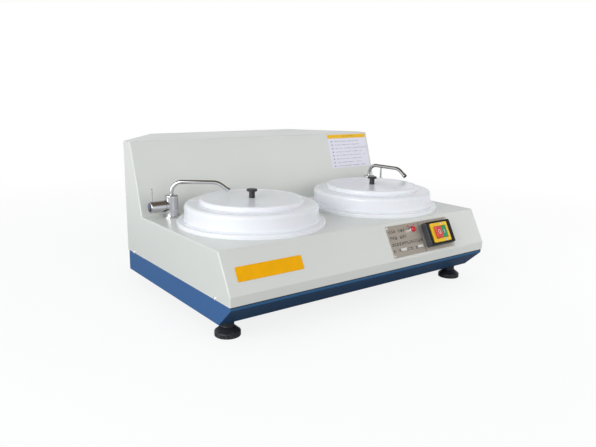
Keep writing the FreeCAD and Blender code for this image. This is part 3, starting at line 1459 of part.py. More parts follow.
def instruction_sticker():
    """Sticker on the leaning splash wall."""
    outline = rounded(rectangle(sizes.sticker_left, sizes.sticker_low, sizes.sticker_width,
                                sizes.sticker_height), sizes.small_round)
    return on_splash(plate("instruction_sticker", "XY_Plane", 0, sizes.sticker_thickness, outline))


def at_rear(thing, x, z):
    """Turns a piece drawn along z to point out of the rear panel."""
    return place(thing, x, rear, z, ALONG_X, -90)


def cable_gland():
    """Gland for the supply cord, which is left out."""
    item = turned("cable_gland", [
        (sizes.gland_bore, -sizes.tail_inside), (sizes.gland_thread_radius, -sizes.tail_inside),
        (sizes.gland_thread_radius, 0), (sizes.gland_radius, 0),
        (sizes.gland_radius, sizes.gland_shoulder, sizes.small_round),
        (sizes.gland_thread_radius, sizes.gland_length, sizes.small_round),
        (sizes.gland_bore, sizes.gland_length)])
    return at_rear(item, sizes.gland_offset, sizes.gland_height)


def rear_hose_tails():
    """Two water inlets and two drain outlets that pass through the rear panel."""
    tails = []
    for kind, radius, bore, offset, height in (
            ("water", sizes.water_hose_radius, sizes.water_hose_bore, sizes.water_tail_offset,
             sizes.water_tail_height),
            ("drain", sizes.drain_hose_radius, sizes.drain_hose_bore, sizes.drain_tail_offset,
             sizes.drain_hose_height)):
        collar = radius + sizes.tail_collar_width
        for name, sign in SIDES:
            item = turned(f"{name}_{kind}_tail", [
                (bore, -sizes.tail_inside), (radius, -sizes.tail_inside), (radius, 0), (collar, 0),
                (collar, sizes.tail_collar, sizes.small_round), (radius, sizes.tail_collar),
                (radius, sizes.tail_length, sizes.small_round), (bore, sizes.tail_length)])
            tails.append(at_rear(item, sign * offset, height))
    return group("rear_hose_tails", tails)


def hose(label, sign, radius, bore, tail_x, height, target_x, target_y, target_z):
    """Hose from a rear tail's inner end to an elbow under a fitting."""
    start_y = rear - sizes.tail_inside
    length = start_y - target_y
    across = sign * (target_x - tail_x)
    straight = sizes.hose_straight
    path = [(0, 0), (0, straight, sizes.hose_bend), (across, length - straight, sizes.hose_bend),
            (across, length)]
    parts = []
    for kind, size in (("outer", radius), ("inner", bore)):
        level = place(swept(f"{label}_{kind}_run", path, [size]), sign * tail_x, start_y, height, ALONG_X, 90)
        bend = ball(f"{label}_{kind}_elbow", size + sizes.hose_elbow_bulge, sign * target_x, target_y, height)
        riser = cylinder(f"{label}_{kind}_riser", size, target_z - height, sign * target_x, target_y, height)
        parts.append(fuse(f"{label}_{kind}", [level, bend, riser]))
    return cut(label, parts[0], parts[1:])


def supply_hoses():
    """Water hoses from the rear inlets to the taps' tails."""
    return group("supply_hoses", [
        hose(f"{name}_supply_hose", sign, sizes.water_hose_radius, sizes.water_hose_bore,
             sizes.water_tail_offset, sizes.water_tail_height, sizes.tap_offset, tap_y,
             worktop - sizes.tap_tail_length)
        for name, sign in SIDES])


def drain_hoses():
    """Drain hoses from the bowls' spigots to the rear outlets."""
    return group("drain_hoses", [
        hose(f"{name}_drain_hose", sign, sizes.drain_hose_radius, sizes.drain_hose_bore,
             sizes.drain_tail_offset, sizes.drain_hose_height, sizes.bowl_offset, bowl_y + sizes.drain_offset,
             bowl_floor - sizes.drain_length)
        for name, sign in SIDES])


pieces = [base_tray(), *cover_panels(), cover_screws(), *levelling_feet(), deck_plate(), deck_pillars(),
          group("nuts_and_bolts", [*foot_nuts(), *deck_bolts(), *tap_nuts()])]
housings, rings, belts = [], [], []
for side_name, side in SIDES:
    bowl_x, tap_x = side * sizes.bowl_offset, side * sizes.tap_offset
    belt_height = sizes.left_belt_height if side < 0 else sizes.right_belt_height
    spout_angle = sizes.left_spout_angle if side < 0 else sizes.right_spout_angle
    pieces += [basin(side_name, bowl_x), splash_ring(side_name, bowl_x), lid(side_name, bowl_x),
               lid_knob(side_name, bowl_x), disc(side_name, bowl_x), cloth(side_name, bowl_x),
               clamp_ring(side_name, bowl_x), spindle(side_name, bowl_x),
               spindle_pulley(side_name, bowl_x, belt_height), tap_body(side_name, side, tap_x),
               tap_handle(side_name, side, tap_x), spout(side_name, tap_x, spout_angle)]
    housings.append(spindle_housing(side_name, bowl_x))
    rings += bearings(side_name, bowl_x)
    belts.append(belt(side_name, side, belt_height))
pieces += [group("spindle_housings", housings), group("bearings", rings), group("belts", belts),
           motor_frame(), motor_cowl(), motor_rotor(), motor_pulley(), control_plate(), panel_screws(),
           lamp_bezel(), lamp_lens(), switch_housing(), switch_face(),
           button("stop_button", stop_x, sizes.stop_button_proud),
           button("start_button", start_x, sizes.start_button_proud), name_plate(), instruction_sticker(),
           cable_gland(), rear_hose_tails(), supply_hoses(), drain_hoses()]

document.recompute()
for item in document.Objects:
    if "Invalid" in item.State or "Error" in item.State:
        raise RuntimeError(f"{item.Label} could not be built")
for piece in pieces:
    if piece.Shape.isNull() or not piece.Shape.isValid():
        raise RuntimeError(f"{piece.Label} has no valid shape")

os.makedirs("parts", exist_ok=True)
for piece in pieces:
    piece.Shape.exportStep(f"parts/{piece.Label}.step")
print(f"{len(pieces)} pieces written")
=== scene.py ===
# %% [markdown]
# # Dressing a twin-disc metallographic polishing machine
#
# A metallographer presses a small metal sample on a turning, cloth-covered disc until its face is
# a mirror. This machine has two such discs, each in a white bowl under a lid, with a swinging
# water tap beside each bowl and one push-button switch on the front slope.
#
# The CAD model already holds every piece in its true shape and place, in metres. A reader could
# model the machine again in Blender, but two models of one thing never agree. So this file keeps
# the CAD pieces where they are, gives each a finish made of nodes, and adds only what CAD leaves
# plain: the cloths, the screws' cross recesses, the signs on the buttons and the caps on the tap
# handles.

# %% Load the machine
import math

import bpy
import numpy as np
from mathutils import Matrix, Vector


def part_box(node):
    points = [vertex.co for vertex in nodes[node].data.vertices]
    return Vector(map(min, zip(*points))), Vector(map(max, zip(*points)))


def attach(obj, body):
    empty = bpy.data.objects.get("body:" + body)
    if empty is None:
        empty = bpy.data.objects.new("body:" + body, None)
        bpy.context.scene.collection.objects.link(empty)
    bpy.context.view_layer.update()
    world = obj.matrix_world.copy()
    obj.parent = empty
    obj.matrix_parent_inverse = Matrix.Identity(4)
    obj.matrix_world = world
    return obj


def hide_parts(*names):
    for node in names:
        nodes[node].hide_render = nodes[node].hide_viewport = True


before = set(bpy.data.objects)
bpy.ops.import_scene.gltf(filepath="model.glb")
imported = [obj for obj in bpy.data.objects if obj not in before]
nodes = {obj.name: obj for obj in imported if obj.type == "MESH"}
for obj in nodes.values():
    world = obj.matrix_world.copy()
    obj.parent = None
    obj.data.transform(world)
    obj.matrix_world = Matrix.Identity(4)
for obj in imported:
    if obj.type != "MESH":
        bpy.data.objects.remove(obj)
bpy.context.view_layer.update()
scene = bpy.context.scene

# %% [markdown]
# ## The camera
#
# The photograph was taken from the front left, a little above the worktop, with a lens of about 36
# mm on a full-frame sensor, held one degree off level. A camera can be aimed with a tracking
# constraint, but then the small roll is lost. Here its three axes are worked out from the two
# viewing angles, and the roll turns two of them, so that the numbers read like a photographer's
# notes.

# %% Camera
AZIMUTH, ELEVATION, ROLL = (math.radians(angle) for angle in (-37.20, 12.90, 0.99))
FOCAL_LENGTH_PX, FRAME_WIDTH_PX, SENSOR_MM = 595.1, 596, 36
CAMERA_PLACE = Vector((-0.8392, -1.1471, 0.4509))


def look_axes(azimuth, elevation, roll):
    """Right, up and backward directions of a camera that looks in from those angles."""
    back = Vector((math.sin(azimuth) * math.cos(elevation),
                   -math.cos(azimuth) * math.cos(elevation), math.sin(elevation)))
    level = Vector((math.cos(azimuth), math.sin(azimuth), 0))
    steep = back.cross(level)
    return (level * math.cos(roll) + steep * math.sin(roll),
            steep * math.cos(roll) - level * math.sin(roll), back)


camera = bpy.data.objects.new("camera", bpy.data.cameras.new("camera"))
camera.data.sensor_width = SENSOR_MM
camera.data.lens = FOCAL_LENGTH_PX / FRAME_WIDTH_PX * SENSOR_MM
camera.data.clip_start, camera.data.clip_end = 0.05, 50
camera.matrix_world = Matrix(look_axes(AZIMUTH, ELEVATION, ROLL)).transposed().to_4x4()
camera.location = CAMERA_PLACE
scene.collection.objects.link(camera)
scene.camera = camera
scene.view_settings.view_transform = "Standard"
print(f"lens {camera.data.lens:.2f} mm")

# %% [markdown]
# ## Writing shader maths as sums
#
# A finish is a small calculation about a point: how far it lies from an axis, which row of a label
# it is in, how rough it is. Built by hand, that is a page of Math nodes. The two classes below let
# the calculation be written as an expression instead. `Value` wraps one socket and overloads the
# operators that this file uses. `Finish` is a material with one method that adds any node.

# %% Sockets as numbers
class Value:
    """The output of a node. Arithmetic on it adds Math nodes to the same finish."""

    def __init__(self, finish, socket):
        self.finish, self.socket = finish, socket

    def math(self, operation, *others):
        inputs = dict(enumerate((self, *others)))
        return self.finish.add("ShaderNodeMath", {"operation": operation}, inputs)

    def __add__(self, other):
        return self.math("ADD", other)

    def __mul__(self, other):
        return self.math("MULTIPLY", other)

    def __sub__(self, other):
        return self.math("SUBTRACT", other)

    def __truediv__(self, other):
        return self.math("DIVIDE", other)

    def __rsub__(self, other):
        return self.finish.add("ShaderNodeMath", {"operation": "SUBTRACT"}, {0: other, 1: self})

    __radd__, __rmul__ = __add__, __mul__

    def __lt__(self, other):
        return self.math("LESS_THAN", other)

    def __gt__(self, other):
        return self.math("GREATER_THAN", other)

    def __abs__(self):
        return self.math("ABSOLUTE")

    def larger(self, other):
        return self.math("MAXIMUM", other)

    def floor(self):
        return self.math("FLOOR")

    def sine(self):
        return self.math("SINE")

    def reach(self, other):
        """The distance from an axis, from the two values that are measured across it."""
        return (self * self + other * other).math("SQRT")

    def part_of(self, step):
        """What whole steps leave of a value: it rises from 0 to the step, again and again."""
        return self.math("FLOORED_MODULO", step)

    def within(self, low, high):
        """1 between two bounds and 0 outside them."""
        return (self > low) * (self < high)


class Finish:
    """A node tree that is being built: one method adds any node, one closes it with a surface."""

    def __init__(self, name, world=False):
        self.block = bpy.data.worlds.new(name) if world else bpy.data.materials.new(name)
        self.block.use_nodes = True
        self.tree = self.block.node_tree
        self.tree.nodes.clear()

    def add(self, kind, settings=None, inputs=None, output=0):
        """Adds a node. Its settings come first, then the numbers or links of its sockets."""
        node = self.tree.nodes.new(kind)
        for key, setting in (settings or {}).items():
            if key == "stops":
                self.set_stops(node.color_ramp, setting)
            else:
                setattr(node, key, setting)
        for key, item in (inputs or {}).items():
            if isinstance(item, Value):
                self.tree.links.new(item.socket, node.inputs[key])
            else:
                node.inputs[key].default_value = item
        return Value(self, node.outputs[output]) if node.outputs else None

    @staticmethod
    def set_stops(ramp, stops):
        while len(ramp.elements) < len(stops):
            ramp.elements.new(1)
        for element, (position, level) in zip(ramp.elements, stops):
            element.position, element.color = position, (level, level, level, 1)

    def place(self):
        """The point itself, in the machine's own metres."""
        return self.add("ShaderNodeTexCoord", output="Object")

    def ray(self, kind):
        """1 where the light path that meets the surface is of a kind, such as Camera or Glossy."""
        return self.add("ShaderNodeLightPath", output=f"Is {kind} Ray")

    def along(self, point, direction, origin=(0, 0, 0)):
        """How far a point lies from an origin, measured along a direction."""
        moved = self.add("ShaderNodeVectorMath", {"operation": "SUBTRACT"}, {0: point, 1: origin})
        return self.add("ShaderNodeVectorMath", {"operation": "DOT_PRODUCT"},
                        {0: moved, 1: direction}, output="Value")

    def vector(self, x, y):
        return self.add("ShaderNodeCombineXYZ", inputs={0: x, 1: y})

    def stretched(self, point, scale, origin=(0, 0, 0)):
        """The point moved to an origin and stretched, for a grain that has a run."""
        moved = self.add("ShaderNodeVectorMath", {"operation": "SUBTRACT"}, {0: point, 1: origin})
        return self.add("ShaderNodeVectorMath", {"operation": "MULTIPLY"}, {0: moved, 1: scale})

    def noise(self, point, scale, detail, roughness=0.5):
        return self.add("ShaderNodeTexNoise", inputs={
            "Vector": point, "Scale": scale, "Detail": detail, "Roughness": roughness})

    def ramp(self, value, *stops):
        """A grey level that follows a few (position, level) stops."""
        return self.add("ShaderNodeValToRGB", {"stops": stops}, {"Fac": value})

    def mix(self, first, second, share):
        """A blend of two colours, from the first at share 0 to the second at share 1.

        The colours of a Mix node are its inputs 6 and 7 and its output 2."""
        first, second = (item if isinstance(item, Value) else (*item, 1)
                         for item in (first, second))
        return self.add("ShaderNodeMix", {"data_type": "RGBA"},
                        {0: share, 6: first, 7: second}, output=2)

    def bump(self, height, distance, strength):
        """A normal that leans with a height map, whose full range is a distance in metres."""
        return self.add("ShaderNodeBump", inputs={"Height": height, "Distance": distance,
                                                  "Strength": strength})

    def close(self, **sockets):
        """Ends the finish with a Principled surface. Underscores in names stand for spaces."""
        inputs = {name.replace("_", " "): (*item, 1) if isinstance(item, tuple) else item
                  for name, item in sockets.items()}
        surface = self.add("ShaderNodeBsdfPrincipled", inputs=inputs)
        self.add("ShaderNodeOutputMaterial", inputs={"Surface": surface})
        return self.block


def dimmed(colour, share):
    return tuple(share * part for part in colour)


def middle_of(name):
    """The middle of a CAD piece's box."""
    low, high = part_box(name)
    return (low + high) / 2


dressed = set()


def dress(material, *names):
    """Puts a finished material on CAD pieces, in place of the plain one in their slot."""
    for name in names:
        mesh = nodes[name].data
        mesh.materials.clear()
        mesh.materials.append(material)
        dressed.add(name)


# %% [markdown]
# ## Powder-coated sheet steel
#
# The housing is folded sheet, sprayed with powder that melts in an oven. Close up, the skin has
# the faint pebbling of orange peel. From a metre away it only softens the reflections. One noise
# as a bump would look like hammered metal, so two sizes of noise are added, and a third, very slow
# one varies how glossy the paint came out. The blue tray and the motor take the same paint in
# other colours. The tray's front is painted darker than its sides as painted shade: its upright
# band lies under the cover's overhang, and its slanted band faces down. A thin dark line below the
# cover is a painted shadow in the joint. Two planes tell which points are front skin.

# %% Powder coat
TRAY_LIP_HEIGHT, JOINT_HEIGHTS, SKIN = 0.0717, (0.0772, 0.0803), 0.0008
TRAY_FRONT = Vector((0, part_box("base_tray")[0].y, TRAY_LIP_HEIGHT))
SLANT_OUT = (0, -0.6776, -0.7354)
# The two front tones are painted shade, and the dark colour for the joint is a painted shadow.
SHADED_UPRIGHT, SHADED_SLANT = (0.030, 0.110, 0.235), (0.011, 0.058, 0.142)
SHADOW_LINE_COLOUR, PEEL_HEIGHT = (0.012, 0.012, 0.013), 0.00005


def shaded_tray_front(paint, point, tone):
    """Paints shade on the upright and the slanted front skin, and a shadow line in the joint
    above.
    """
    upright = paint.along(point, (0, -1, 0), TRAY_FRONT) > -SKIN
    slanted = paint.along(point, SLANT_OUT, TRAY_FRONT) > -SKIN
    tone = paint.mix(paint.mix(tone, SHADED_UPRIGHT, upright), SHADED_SLANT, slanted)
    # A painted shadow line in the joint under the cover's edge.
    joint_shadow = paint.along(point, (0, 0, 1)).within(*JOINT_HEIGHTS) * upright
    return paint.mix(tone, SHADOW_LINE_COLOUR, joint_shadow * 0.85)


def powder_coat(name, colour, gloss, clear=0.25, mirror=0.5, tone_change=None):
    """Paint whose colour, gloss and skin vary slightly, with an optional rule that paints shade on
    it.
    """
    paint = Finish(name)
    point = paint.place()
    cloudy = paint.ramp(paint.noise(point, 5, 3), (0.3, 0), (0.7, 1))
    pebbles = paint.noise(point, 420, 2) * 0.7 + paint.noise(point, 1300, 1) * 0.3
    sprayed = paint.ramp(paint.noise(point, 11, 2), (0.2, gloss - 0.05), (0.8, gloss + 0.05))
    tone = paint.mix(colour, dimmed(colour, 0.97), cloudy)
    if tone_change:
        tone = tone_change(paint, point, tone)
    return paint.close(Base_Color=tone, Roughness=sprayed,
                       Normal=paint.bump(pebbles, PEEL_HEIGHT, 0.4), Coat_Weight=clear,
                       Coat_Roughness=0.13, Specular_IOR_Level=mirror)


dress(powder_coat("cover_paint", (0.690, 0.700, 0.668), 0.34), "front_panel", "worktop_panel",
      "splash_guard", "rear_panel", "left_side_panel", "right_side_panel")
# The tray's front takes painted shade and a painted shadow in its joint.
dress(powder_coat("tray_paint", (0.041, 0.123, 0.302), 0.44, clear=0.04, mirror=0.3,
                  tone_change=shaded_tray_front), "base_tray")
dress(powder_coat("motor_paint", (0.17, 0.21, 0.26), 0.34), "motor_frame", "motor_cowl")
print("painted:", ", ".join(sorted(dressed)))

# %% [markdown]
# ## White moulded plastic
#
# The bowls, splash rings and lids are thick white plastic with a cool, slightly lavender tint.
# Light goes a few millimetres into it, which is why its edges look soft. A full volume would show
# that best, but a little scattering under the skin is enough here. The skin itself is glossy,
# gently wavy from the mould, and wiped clean in circles, so its fine scratches are drawn as
# distorted rings round the bowl's own axis.

# %% White plastic
def white_plastic(name, colour, centre):
    """Glossy plastic: wiping marks run round its centre, and its skin is almost flat."""
    plastic = Finish(name)
    point = plastic.place()
    swirl = plastic.add("ShaderNodeTexWave", {"wave_type": "RINGS", "rings_direction": "Z"},
                        {"Vector": plastic.stretched(point, (1, 1, 1), centre), "Scale": 130.0,
                         "Distortion": 9.0, "Detail": 3.0, "Detail Scale": 0.6}, output="Fac")
    patches = plastic.noise(point, 24, 4, 0.6)
    wiped = plastic.ramp(swirl * 0.25 + patches * 0.75, (0.25, 0.18), (0.75, 0.28))
    tone = plastic.mix(colour, dimmed(colour, 0.97), plastic.noise(point, 9, 2))
    return plastic.close(Base_Color=tone, Roughness=wiped,
                         Normal=plastic.bump(plastic.noise(point, 16, 1), 0.0004, 0.2),
                         Subsurface_Weight=0.10, Subsurface_Scale=0.004, Coat_Weight=0.2,
                         Coat_Roughness=0.12)


BOWL_CENTRES = {side: middle_of(f"{side}_disc") for side in ("left", "right")}
for side, centre in BOWL_CENTRES.items():
    dress(white_plastic(f"{side}_bowl_plastic", (0.835, 0.840, 0.878), centre), f"{side}_basin",
          f"{side}_splash_ring", f"{side}_lid")
    print(f"{side} bowl at {centre.x:.4f}, {centre.y:.4f} m")

# %% [markdown]
# ## Chrome
#
# The taps are polished brass under chrome. Chrome has no colour of its own: it shows the room.
# What makes it look real is a sharp mirror with a few dried water spots, and a room with both
# light and dark in it, which the world's own nodes give further down.

# %% Chrome
def chrome(name, tint=(0.60, 0.60, 0.61), greasy=0.10):
    """A mirror, a little rougher where hands and hard water leave a film, with dried spots."""
    metal = Finish(name)
    point = metal.place()
    spots = metal.ramp(metal.noise(point, 260, 3, 0.7), (0.56, 0), (0.74, 1))
    film = metal.ramp(metal.noise(point, 45, 2), (0.4, 0.03), (0.8, greasy))
    return metal.close(Base_Color=metal.mix(tint, dimmed(tint, 0.9), spots), Metallic=1.0,
                       Roughness=film + spots * 0.06,
                       Normal=metal.bump(metal.noise(point, 90, 1), 0.00012, 0.2))


dress(chrome("tap_chrome"), *(f"{side}_{part}" for side in BOWL_CENTRES
                              for part in ("tap_body", "tap_handle", "spout")))
dress(chrome("bezel_chrome", (0.70, 0.70, 0.71), 0.14), "lamp_bezel")

# %% [markdown]
# ## Ground, brushed and turned metal
#
# A grinding belt leaves straight scratches and a lathe leaves rings. The scratches are noise that
# is slow along the belt's run and quick across it. The rings are waves of the distance from the
# part's axis, pushed a little out of true by noise. An image of scratches would do the same, but a
# formula works at any scale.

# %% Scratched metals
ALONG_GRAIN, ACROSS_GRAIN, TURNING_PITCH = 9.0, 1500.0, 0.0008


def brushed_metal(name, colour, rough, run=(1, 0, 0), metallic=1.0):
    """Metal with straight scratches: the noise is slow along the run and quick across it."""
    metal = Finish(name)
    point = metal.place()
    squeeze = tuple(ALONG_GRAIN if part else ACROSS_GRAIN for part in run)
    scratch = metal.noise(metal.stretched(point, squeeze), 1, 3, 0.65)
    tone = metal.mix(dimmed(colour, 0.85), colour,
                     scratch * 0.7 + metal.noise(point, 40, 2) * 0.3)
    return metal.close(Base_Color=tone, Metallic=metallic,
                       Normal=metal.bump(scratch, 0.00002, 0.6),
                       Roughness=metal.ramp(scratch, (0.25, rough - 0.08), (0.75, rough + 0.08)))


def turned_metal(name, colour, centre, rough=0.3):
    """Metal off a lathe: fine rings round an upright axis, pushed a little out of true."""
    metal = Finish(name)
    point = metal.place()
    radius = metal.along(point, (1, 0, 0), centre).reach(metal.along(point, (0, 1, 0), centre))
    turns = radius * (math.tau / TURNING_PITCH)
    ring = (turns + metal.noise(point, 60, 2) * 6).sine() * 0.5 + 0.5
    grain = metal.noise(point, 900, 2)
    tone = metal.mix(dimmed(colour, 0.88), colour, ring * 0.5 + grain * 0.5)
    return metal.close(Base_Color=tone, Metallic=1.0, Normal=metal.bump(ring, 0.00001, 0.5),
                       Roughness=metal.ramp(ring * 0.4 + grain * 0.6, (0.2, rough - 0.06),
                                            (0.8, rough + 0.08)))


STEEL, DARK_IRON = (0.60, 0.60, 0.61), (0.24, 0.24, 0.25)
for side, centre in BOWL_CENTRES.items():
    dress(turned_metal(f"{side}_disc_aluminium", (0.74, 0.74, 0.75), centre), f"{side}_disc")
    dress(turned_metal(f"{side}_ring_steel", (0.66, 0.66, 0.66), centre, 0.24),
          f"{side}_clamp_ring")
    dress(turned_metal(f"{side}_spindle_steel", STEEL, centre, 0.26), f"{side}_spindle")
    dress(turned_metal(f"{side}_pulley_iron", DARK_IRON, centre, 0.42), f"{side}_spindle_pulley")
motor_axis = middle_of("motor_pulley")
dress(turned_metal("motor_pulley_iron", DARK_IRON, motor_axis, 0.42), "motor_pulley")
dress(turned_metal("rotor_steel", dimmed(STEEL, 0.85), motor_axis, 0.3), "motor_rotor")
dress(brushed_metal("deck_steel", dimmed(STEEL, 0.7), 0.4), "deck_plate", "deck_pillars")
dress(brushed_metal("nut_steel", STEEL, 0.3, (0, 0, 1)), "nuts_and_bolts", "bearings")
dress(brushed_metal("tail_brass", (0.72, 0.54, 0.26), 0.3, (0, 1, 0)), "rear_hose_tails")

# %% [markdown]
# ## Cast iron
#
# The spindle housings are rough castings under a thin dark primer. Sand leaves a grainy skin with
# pits, so a coarse noise is cut off at both ends and given a real depth of a few tenths of a
# millimetre.

# %% Cast iron
def cast_iron(name, colour):
    """Primed casting: grains and pits, dull in the hollows and a little worn on the grains."""
    metal = Finish(name)
    point = metal.place()
    grains = metal.ramp(metal.noise(point, 320, 4, 0.7), (0.32, 0), (0.68, 1))
    return metal.close(Base_Color=metal.mix(dimmed(colour, 0.7), dimmed(colour, 1.3), grains),
                       Metallic=0.3, Roughness=metal.ramp(grains, (0, 0.75), (1, 0.48)),
                       Normal=metal.bump(grains, 0.0003, 0.7))


dress(cast_iron("housing_iron", (0.13, 0.135, 0.14)), "spindle_housings")

# %% [markdown]
# ## Coloured plastic, rubber and hoses
#
# Everything else that is moulded takes one recipe: a colour, a gloss and the fine grain that a
# spark-eroded mould leaves. The numbers differ, from the shiny black phenolic of the lid knobs to
# the dull rubber of the belts. The feet are paler grey and duller towards the floor.

# %% Moulded plastics
def moulded(name, colour, rough, grain=0.00003, polish=0.0, paler_below=None):
    """Plastic with mould grain. Below a height it is paler grey and duller, more so the lower it
    is.
    """
    skin = Finish(name)
    point = skin.place()
    flow = skin.ramp(skin.noise(point, 55, 3), (0.3, 0), (0.7, 1))
    tone = skin.mix(colour, dimmed(colour, 0.88), flow)
    dull = skin.ramp(skin.noise(point, 130, 3), (0.25, rough - 0.05), (0.75, rough + 0.05))
    if paler_below is not None:
        # Below a height the colour turns paler grey and the skin duller, more so the lower it is.
        low = skin.ramp(skin.along(point, (0, 0, 1)) / paler_below, (0, 1), (1, 0))
        paling = low * skin.ramp(skin.noise(point, 210, 3), (0.40, 0), (0.70, 1)) * 0.35
        tone, dull = skin.mix(tone, (0.16, 0.155, 0.15), paling), dull + paling * 0.5
    return skin.close(Base_Color=tone, Roughness=dull, Coat_Weight=polish, Coat_Roughness=0.06,
                      Normal=skin.bump(skin.noise(point, 1500, 2), grain, 0.5))


dress(moulded("knob_plastic", (0.016, 0.016, 0.017), 0.36, polish=0.1), "left_lid_knob",
      "right_lid_knob")
dress(moulded("foot_plastic", (0.018, 0.019, 0.024), 0.33, polish=0.15, paler_below=0.016),
      "foot_front_left", "foot_front_right", "foot_rear_left", "foot_rear_right")
dress(moulded("belt_rubber", (0.024, 0.023, 0.022), 0.72, 0.0001), "belts")
dress(moulded("switch_yellow", (0.93, 0.58, 0.010), 0.30, polish=0.3), "switch_face")
dress(moulded("stop_red", (0.72, 0.065, 0.055), 0.24, polish=0.5), "stop_button")
dress(moulded("start_green", (0.030, 0.330, 0.120), 0.24, polish=0.5), "start_button")
dress(moulded("gland_plastic", (0.030, 0.030, 0.032), 0.48), "cable_gland")
dress(moulded("supply_plastic", (0.06, 0.13, 0.30), 0.30, polish=0.2), "supply_hoses")
dress(moulded("drain_plastic", (0.42, 0.42, 0.43), 0.42), "drain_hoses")

# %% [markdown]
# ## The pilot lamp's lens
#
# The lens is clear red plastic with ribs moulded inside it to spread the light. Real refraction
# needs many more light paths than such a small piece is worth. So it is a bright red body whose
# ribs are a ring bump round the lens's own axis, under a smooth clear coat. Their rings of
# refracted light are painted light: the red brightens and darkens with them.

# %% Lamp lens
SLOPE_FOOT = Vector((0, -0.3142, 0.098))
SLOPE_UP, SLOPE_OUT = (0, 0.4780, 0.8783), (0, -0.8783, 0.4780)
RIB_WAVES = 5200


def ribbed_lens(name, colour, centre):
    """Red plastic: rings of ribs as a bump, and as painted light and shade in the colour, below a
    smooth skin.
    """
    lens = Finish(name)
    point = lens.place()
    across = lens.along(point, (1, 0, 0), centre)
    upward = lens.along(point, SLOPE_UP, centre)
    ribs = (across.reach(upward) * RIB_WAVES).sine() * 0.5 + 0.5
    # Painted light: the red brightens and darkens along the rings of the ribs.
    tone = lens.mix(colour, dimmed(colour, 0.6), ribs * 0.6 + lens.noise(point, 300, 2) * 0.4)
    return lens.close(Base_Color=tone, Roughness=lens.ramp(ribs, (0, 0.10), (1, 0.22)),
                      Coat_Weight=1.0, Coat_Roughness=0.03, Subsurface_Weight=0.3,
                      Subsurface_Scale=0.003, Normal=lens.bump(ribs, 0.0001, 0.4))


dress(ribbed_lens("lens_red", (0.72, 0.004, 0.018), middle_of("lamp_lens")), "lamp_lens")

# %% [markdown]
# ## The switch box
#
# The box has a satin body and a polished black rim round the yellow face. The body's colour is
# dark plastic painted a paler blue-grey, as painted light from the left lamp on the box's sides.
# Both belong to one moulding, so the change is a matter of height above the slope: the finish
# blends from satin to polish over half a millimetre, where the real mould has its parting line.

# %% Switch box
RIM_FROM, PARTING_BLEND = 0.0145, 0.0005


def switch_plastic(name, lit_satin, polished):
    """Satin sides in a paler tone of painted light, with spark-eroded grain, and a polished rim
    from a height above the slope.
    """
    box = Finish(name)
    point = box.place()
    out = box.along(point, SLOPE_OUT, SLOPE_FOOT)
    rim = box.ramp((out - RIM_FROM) / PARTING_BLEND, (0, 0), (1, 1))
    flow = box.ramp(box.noise(point, 55, 3), (0.3, 0), (0.7, 1))
    # The first colour is the sides' painted light: paler than the plastic, as if lit from the
    # left.
    tone = box.mix(box.mix(lit_satin, dimmed(lit_satin, 0.85), flow), polished, rim)
    return box.close(Base_Color=tone, Roughness=box.ramp(rim, (0, 0.46), (1, 0.16)) + flow * 0.05,
                     Normal=box.bump(box.noise(point, 1500, 2) * (1 - rim), 0.00003, 0.5))


dress(switch_plastic("switch_black", (0.046, 0.050, 0.060), (0.010, 0.010, 0.011)),
      "switch_housing")

# %% [markdown]
# ## Printed films and the marked plate
#
# The sticker and the plate carry generic print: squiggles that read as print from a distance and
# say nothing close up. A row is a value that rises from 0 to the row pitch again and again. Inside
# a row, the pen strokes are the contour lines of a noise, thin where the noise passes its middle
# level. The row's number goes into a second noise, so that no two rows match.

# %% Print
def squiggles(film, across, upward, sign_width, stroke):
    """1 on thin curling strokes, the contour lines of a noise, in signs with gaps between."""
    curls = film.noise(film.vector(across / stroke, upward / stroke), 1, 0)
    return (abs(curls - 0.5) < 0.10) * (across.part_of(sign_width) < sign_width * 0.85)


def print_rows(film, across, upward, start, pitch, height, sign_width, stroke, shortest, longest):
    """Rows of squiggles at a pitch. Each row ends at its own length, and has words with gaps.

    The odd factors only keep the noise's samples of neighbouring rows and words apart."""
    lifted = upward - start
    row = (lifted / pitch).floor()
    ending = film.noise(film.vector(row * 7.31, 3.7), 1, 0) * (longest - shortest) + shortest
    words = film.noise(film.vector((across / sign_width).floor() * 0.53, row * 5.17), 1, 0) > 0.40
    inside = (lifted.part_of(pitch) < height) * across.within(0, ending)
    return squiggles(film, across, upward, sign_width, stroke) * inside * words


STICKER_PITCH = 0.0097


def paper_sticker(name, left):
    """White film: an amber band with four marks, then rows with a bullet before each."""
    film = Finish(name)
    point = film.place()
    across = film.along(point, (1, 0, 0), (left, 0, 0))
    upward = film.along(point, SPLASH_UP, SPLASH_FOOT) - STICKER_LOW
    tall = STICKER_HIGH - STICKER_LOW
    band = upward > tall - 0.0105
    band_marks = across.within(0.048, 0.092) * upward.within(tall - 0.0068, tall - 0.0035)
    band_marks = band_marks * (across.part_of(0.011) < 0.0028)
    body = upward.within(0.004, tall - 0.013)
    rows = print_rows(film, across - 0.022, upward, start=0.0045, pitch=STICKER_PITCH,
                      height=0.0022, sign_width=0.0026, stroke=0.0011, shortest=0.05, longest=0.14)
    dots = across.within(0.009, 0.0145) * ((upward - 0.0040).part_of(STICKER_PITCH) < 0.0032)
    ink = (rows * 0.75).larger(dots * 0.6) * body
    paper = film.mix((0.77, 0.765, 0.86), (0.74, 0.735, 0.82), film.noise(point, 30, 2))
    tone = film.mix(film.mix(paper, (0.07, 0.07, 0.14), ink), (0.88, 0.50, 0.012), band)
    tone = film.mix(tone, (0.16, 0.10, 0.04), band_marks)
    sheen = film.ramp(film.noise(point, 70, 2), (0.3, 0.36), (0.7, 0.48))
    return film.close(Base_Color=tone, Roughness=sheen, Coat_Weight=0.08, Coat_Roughness=0.2)


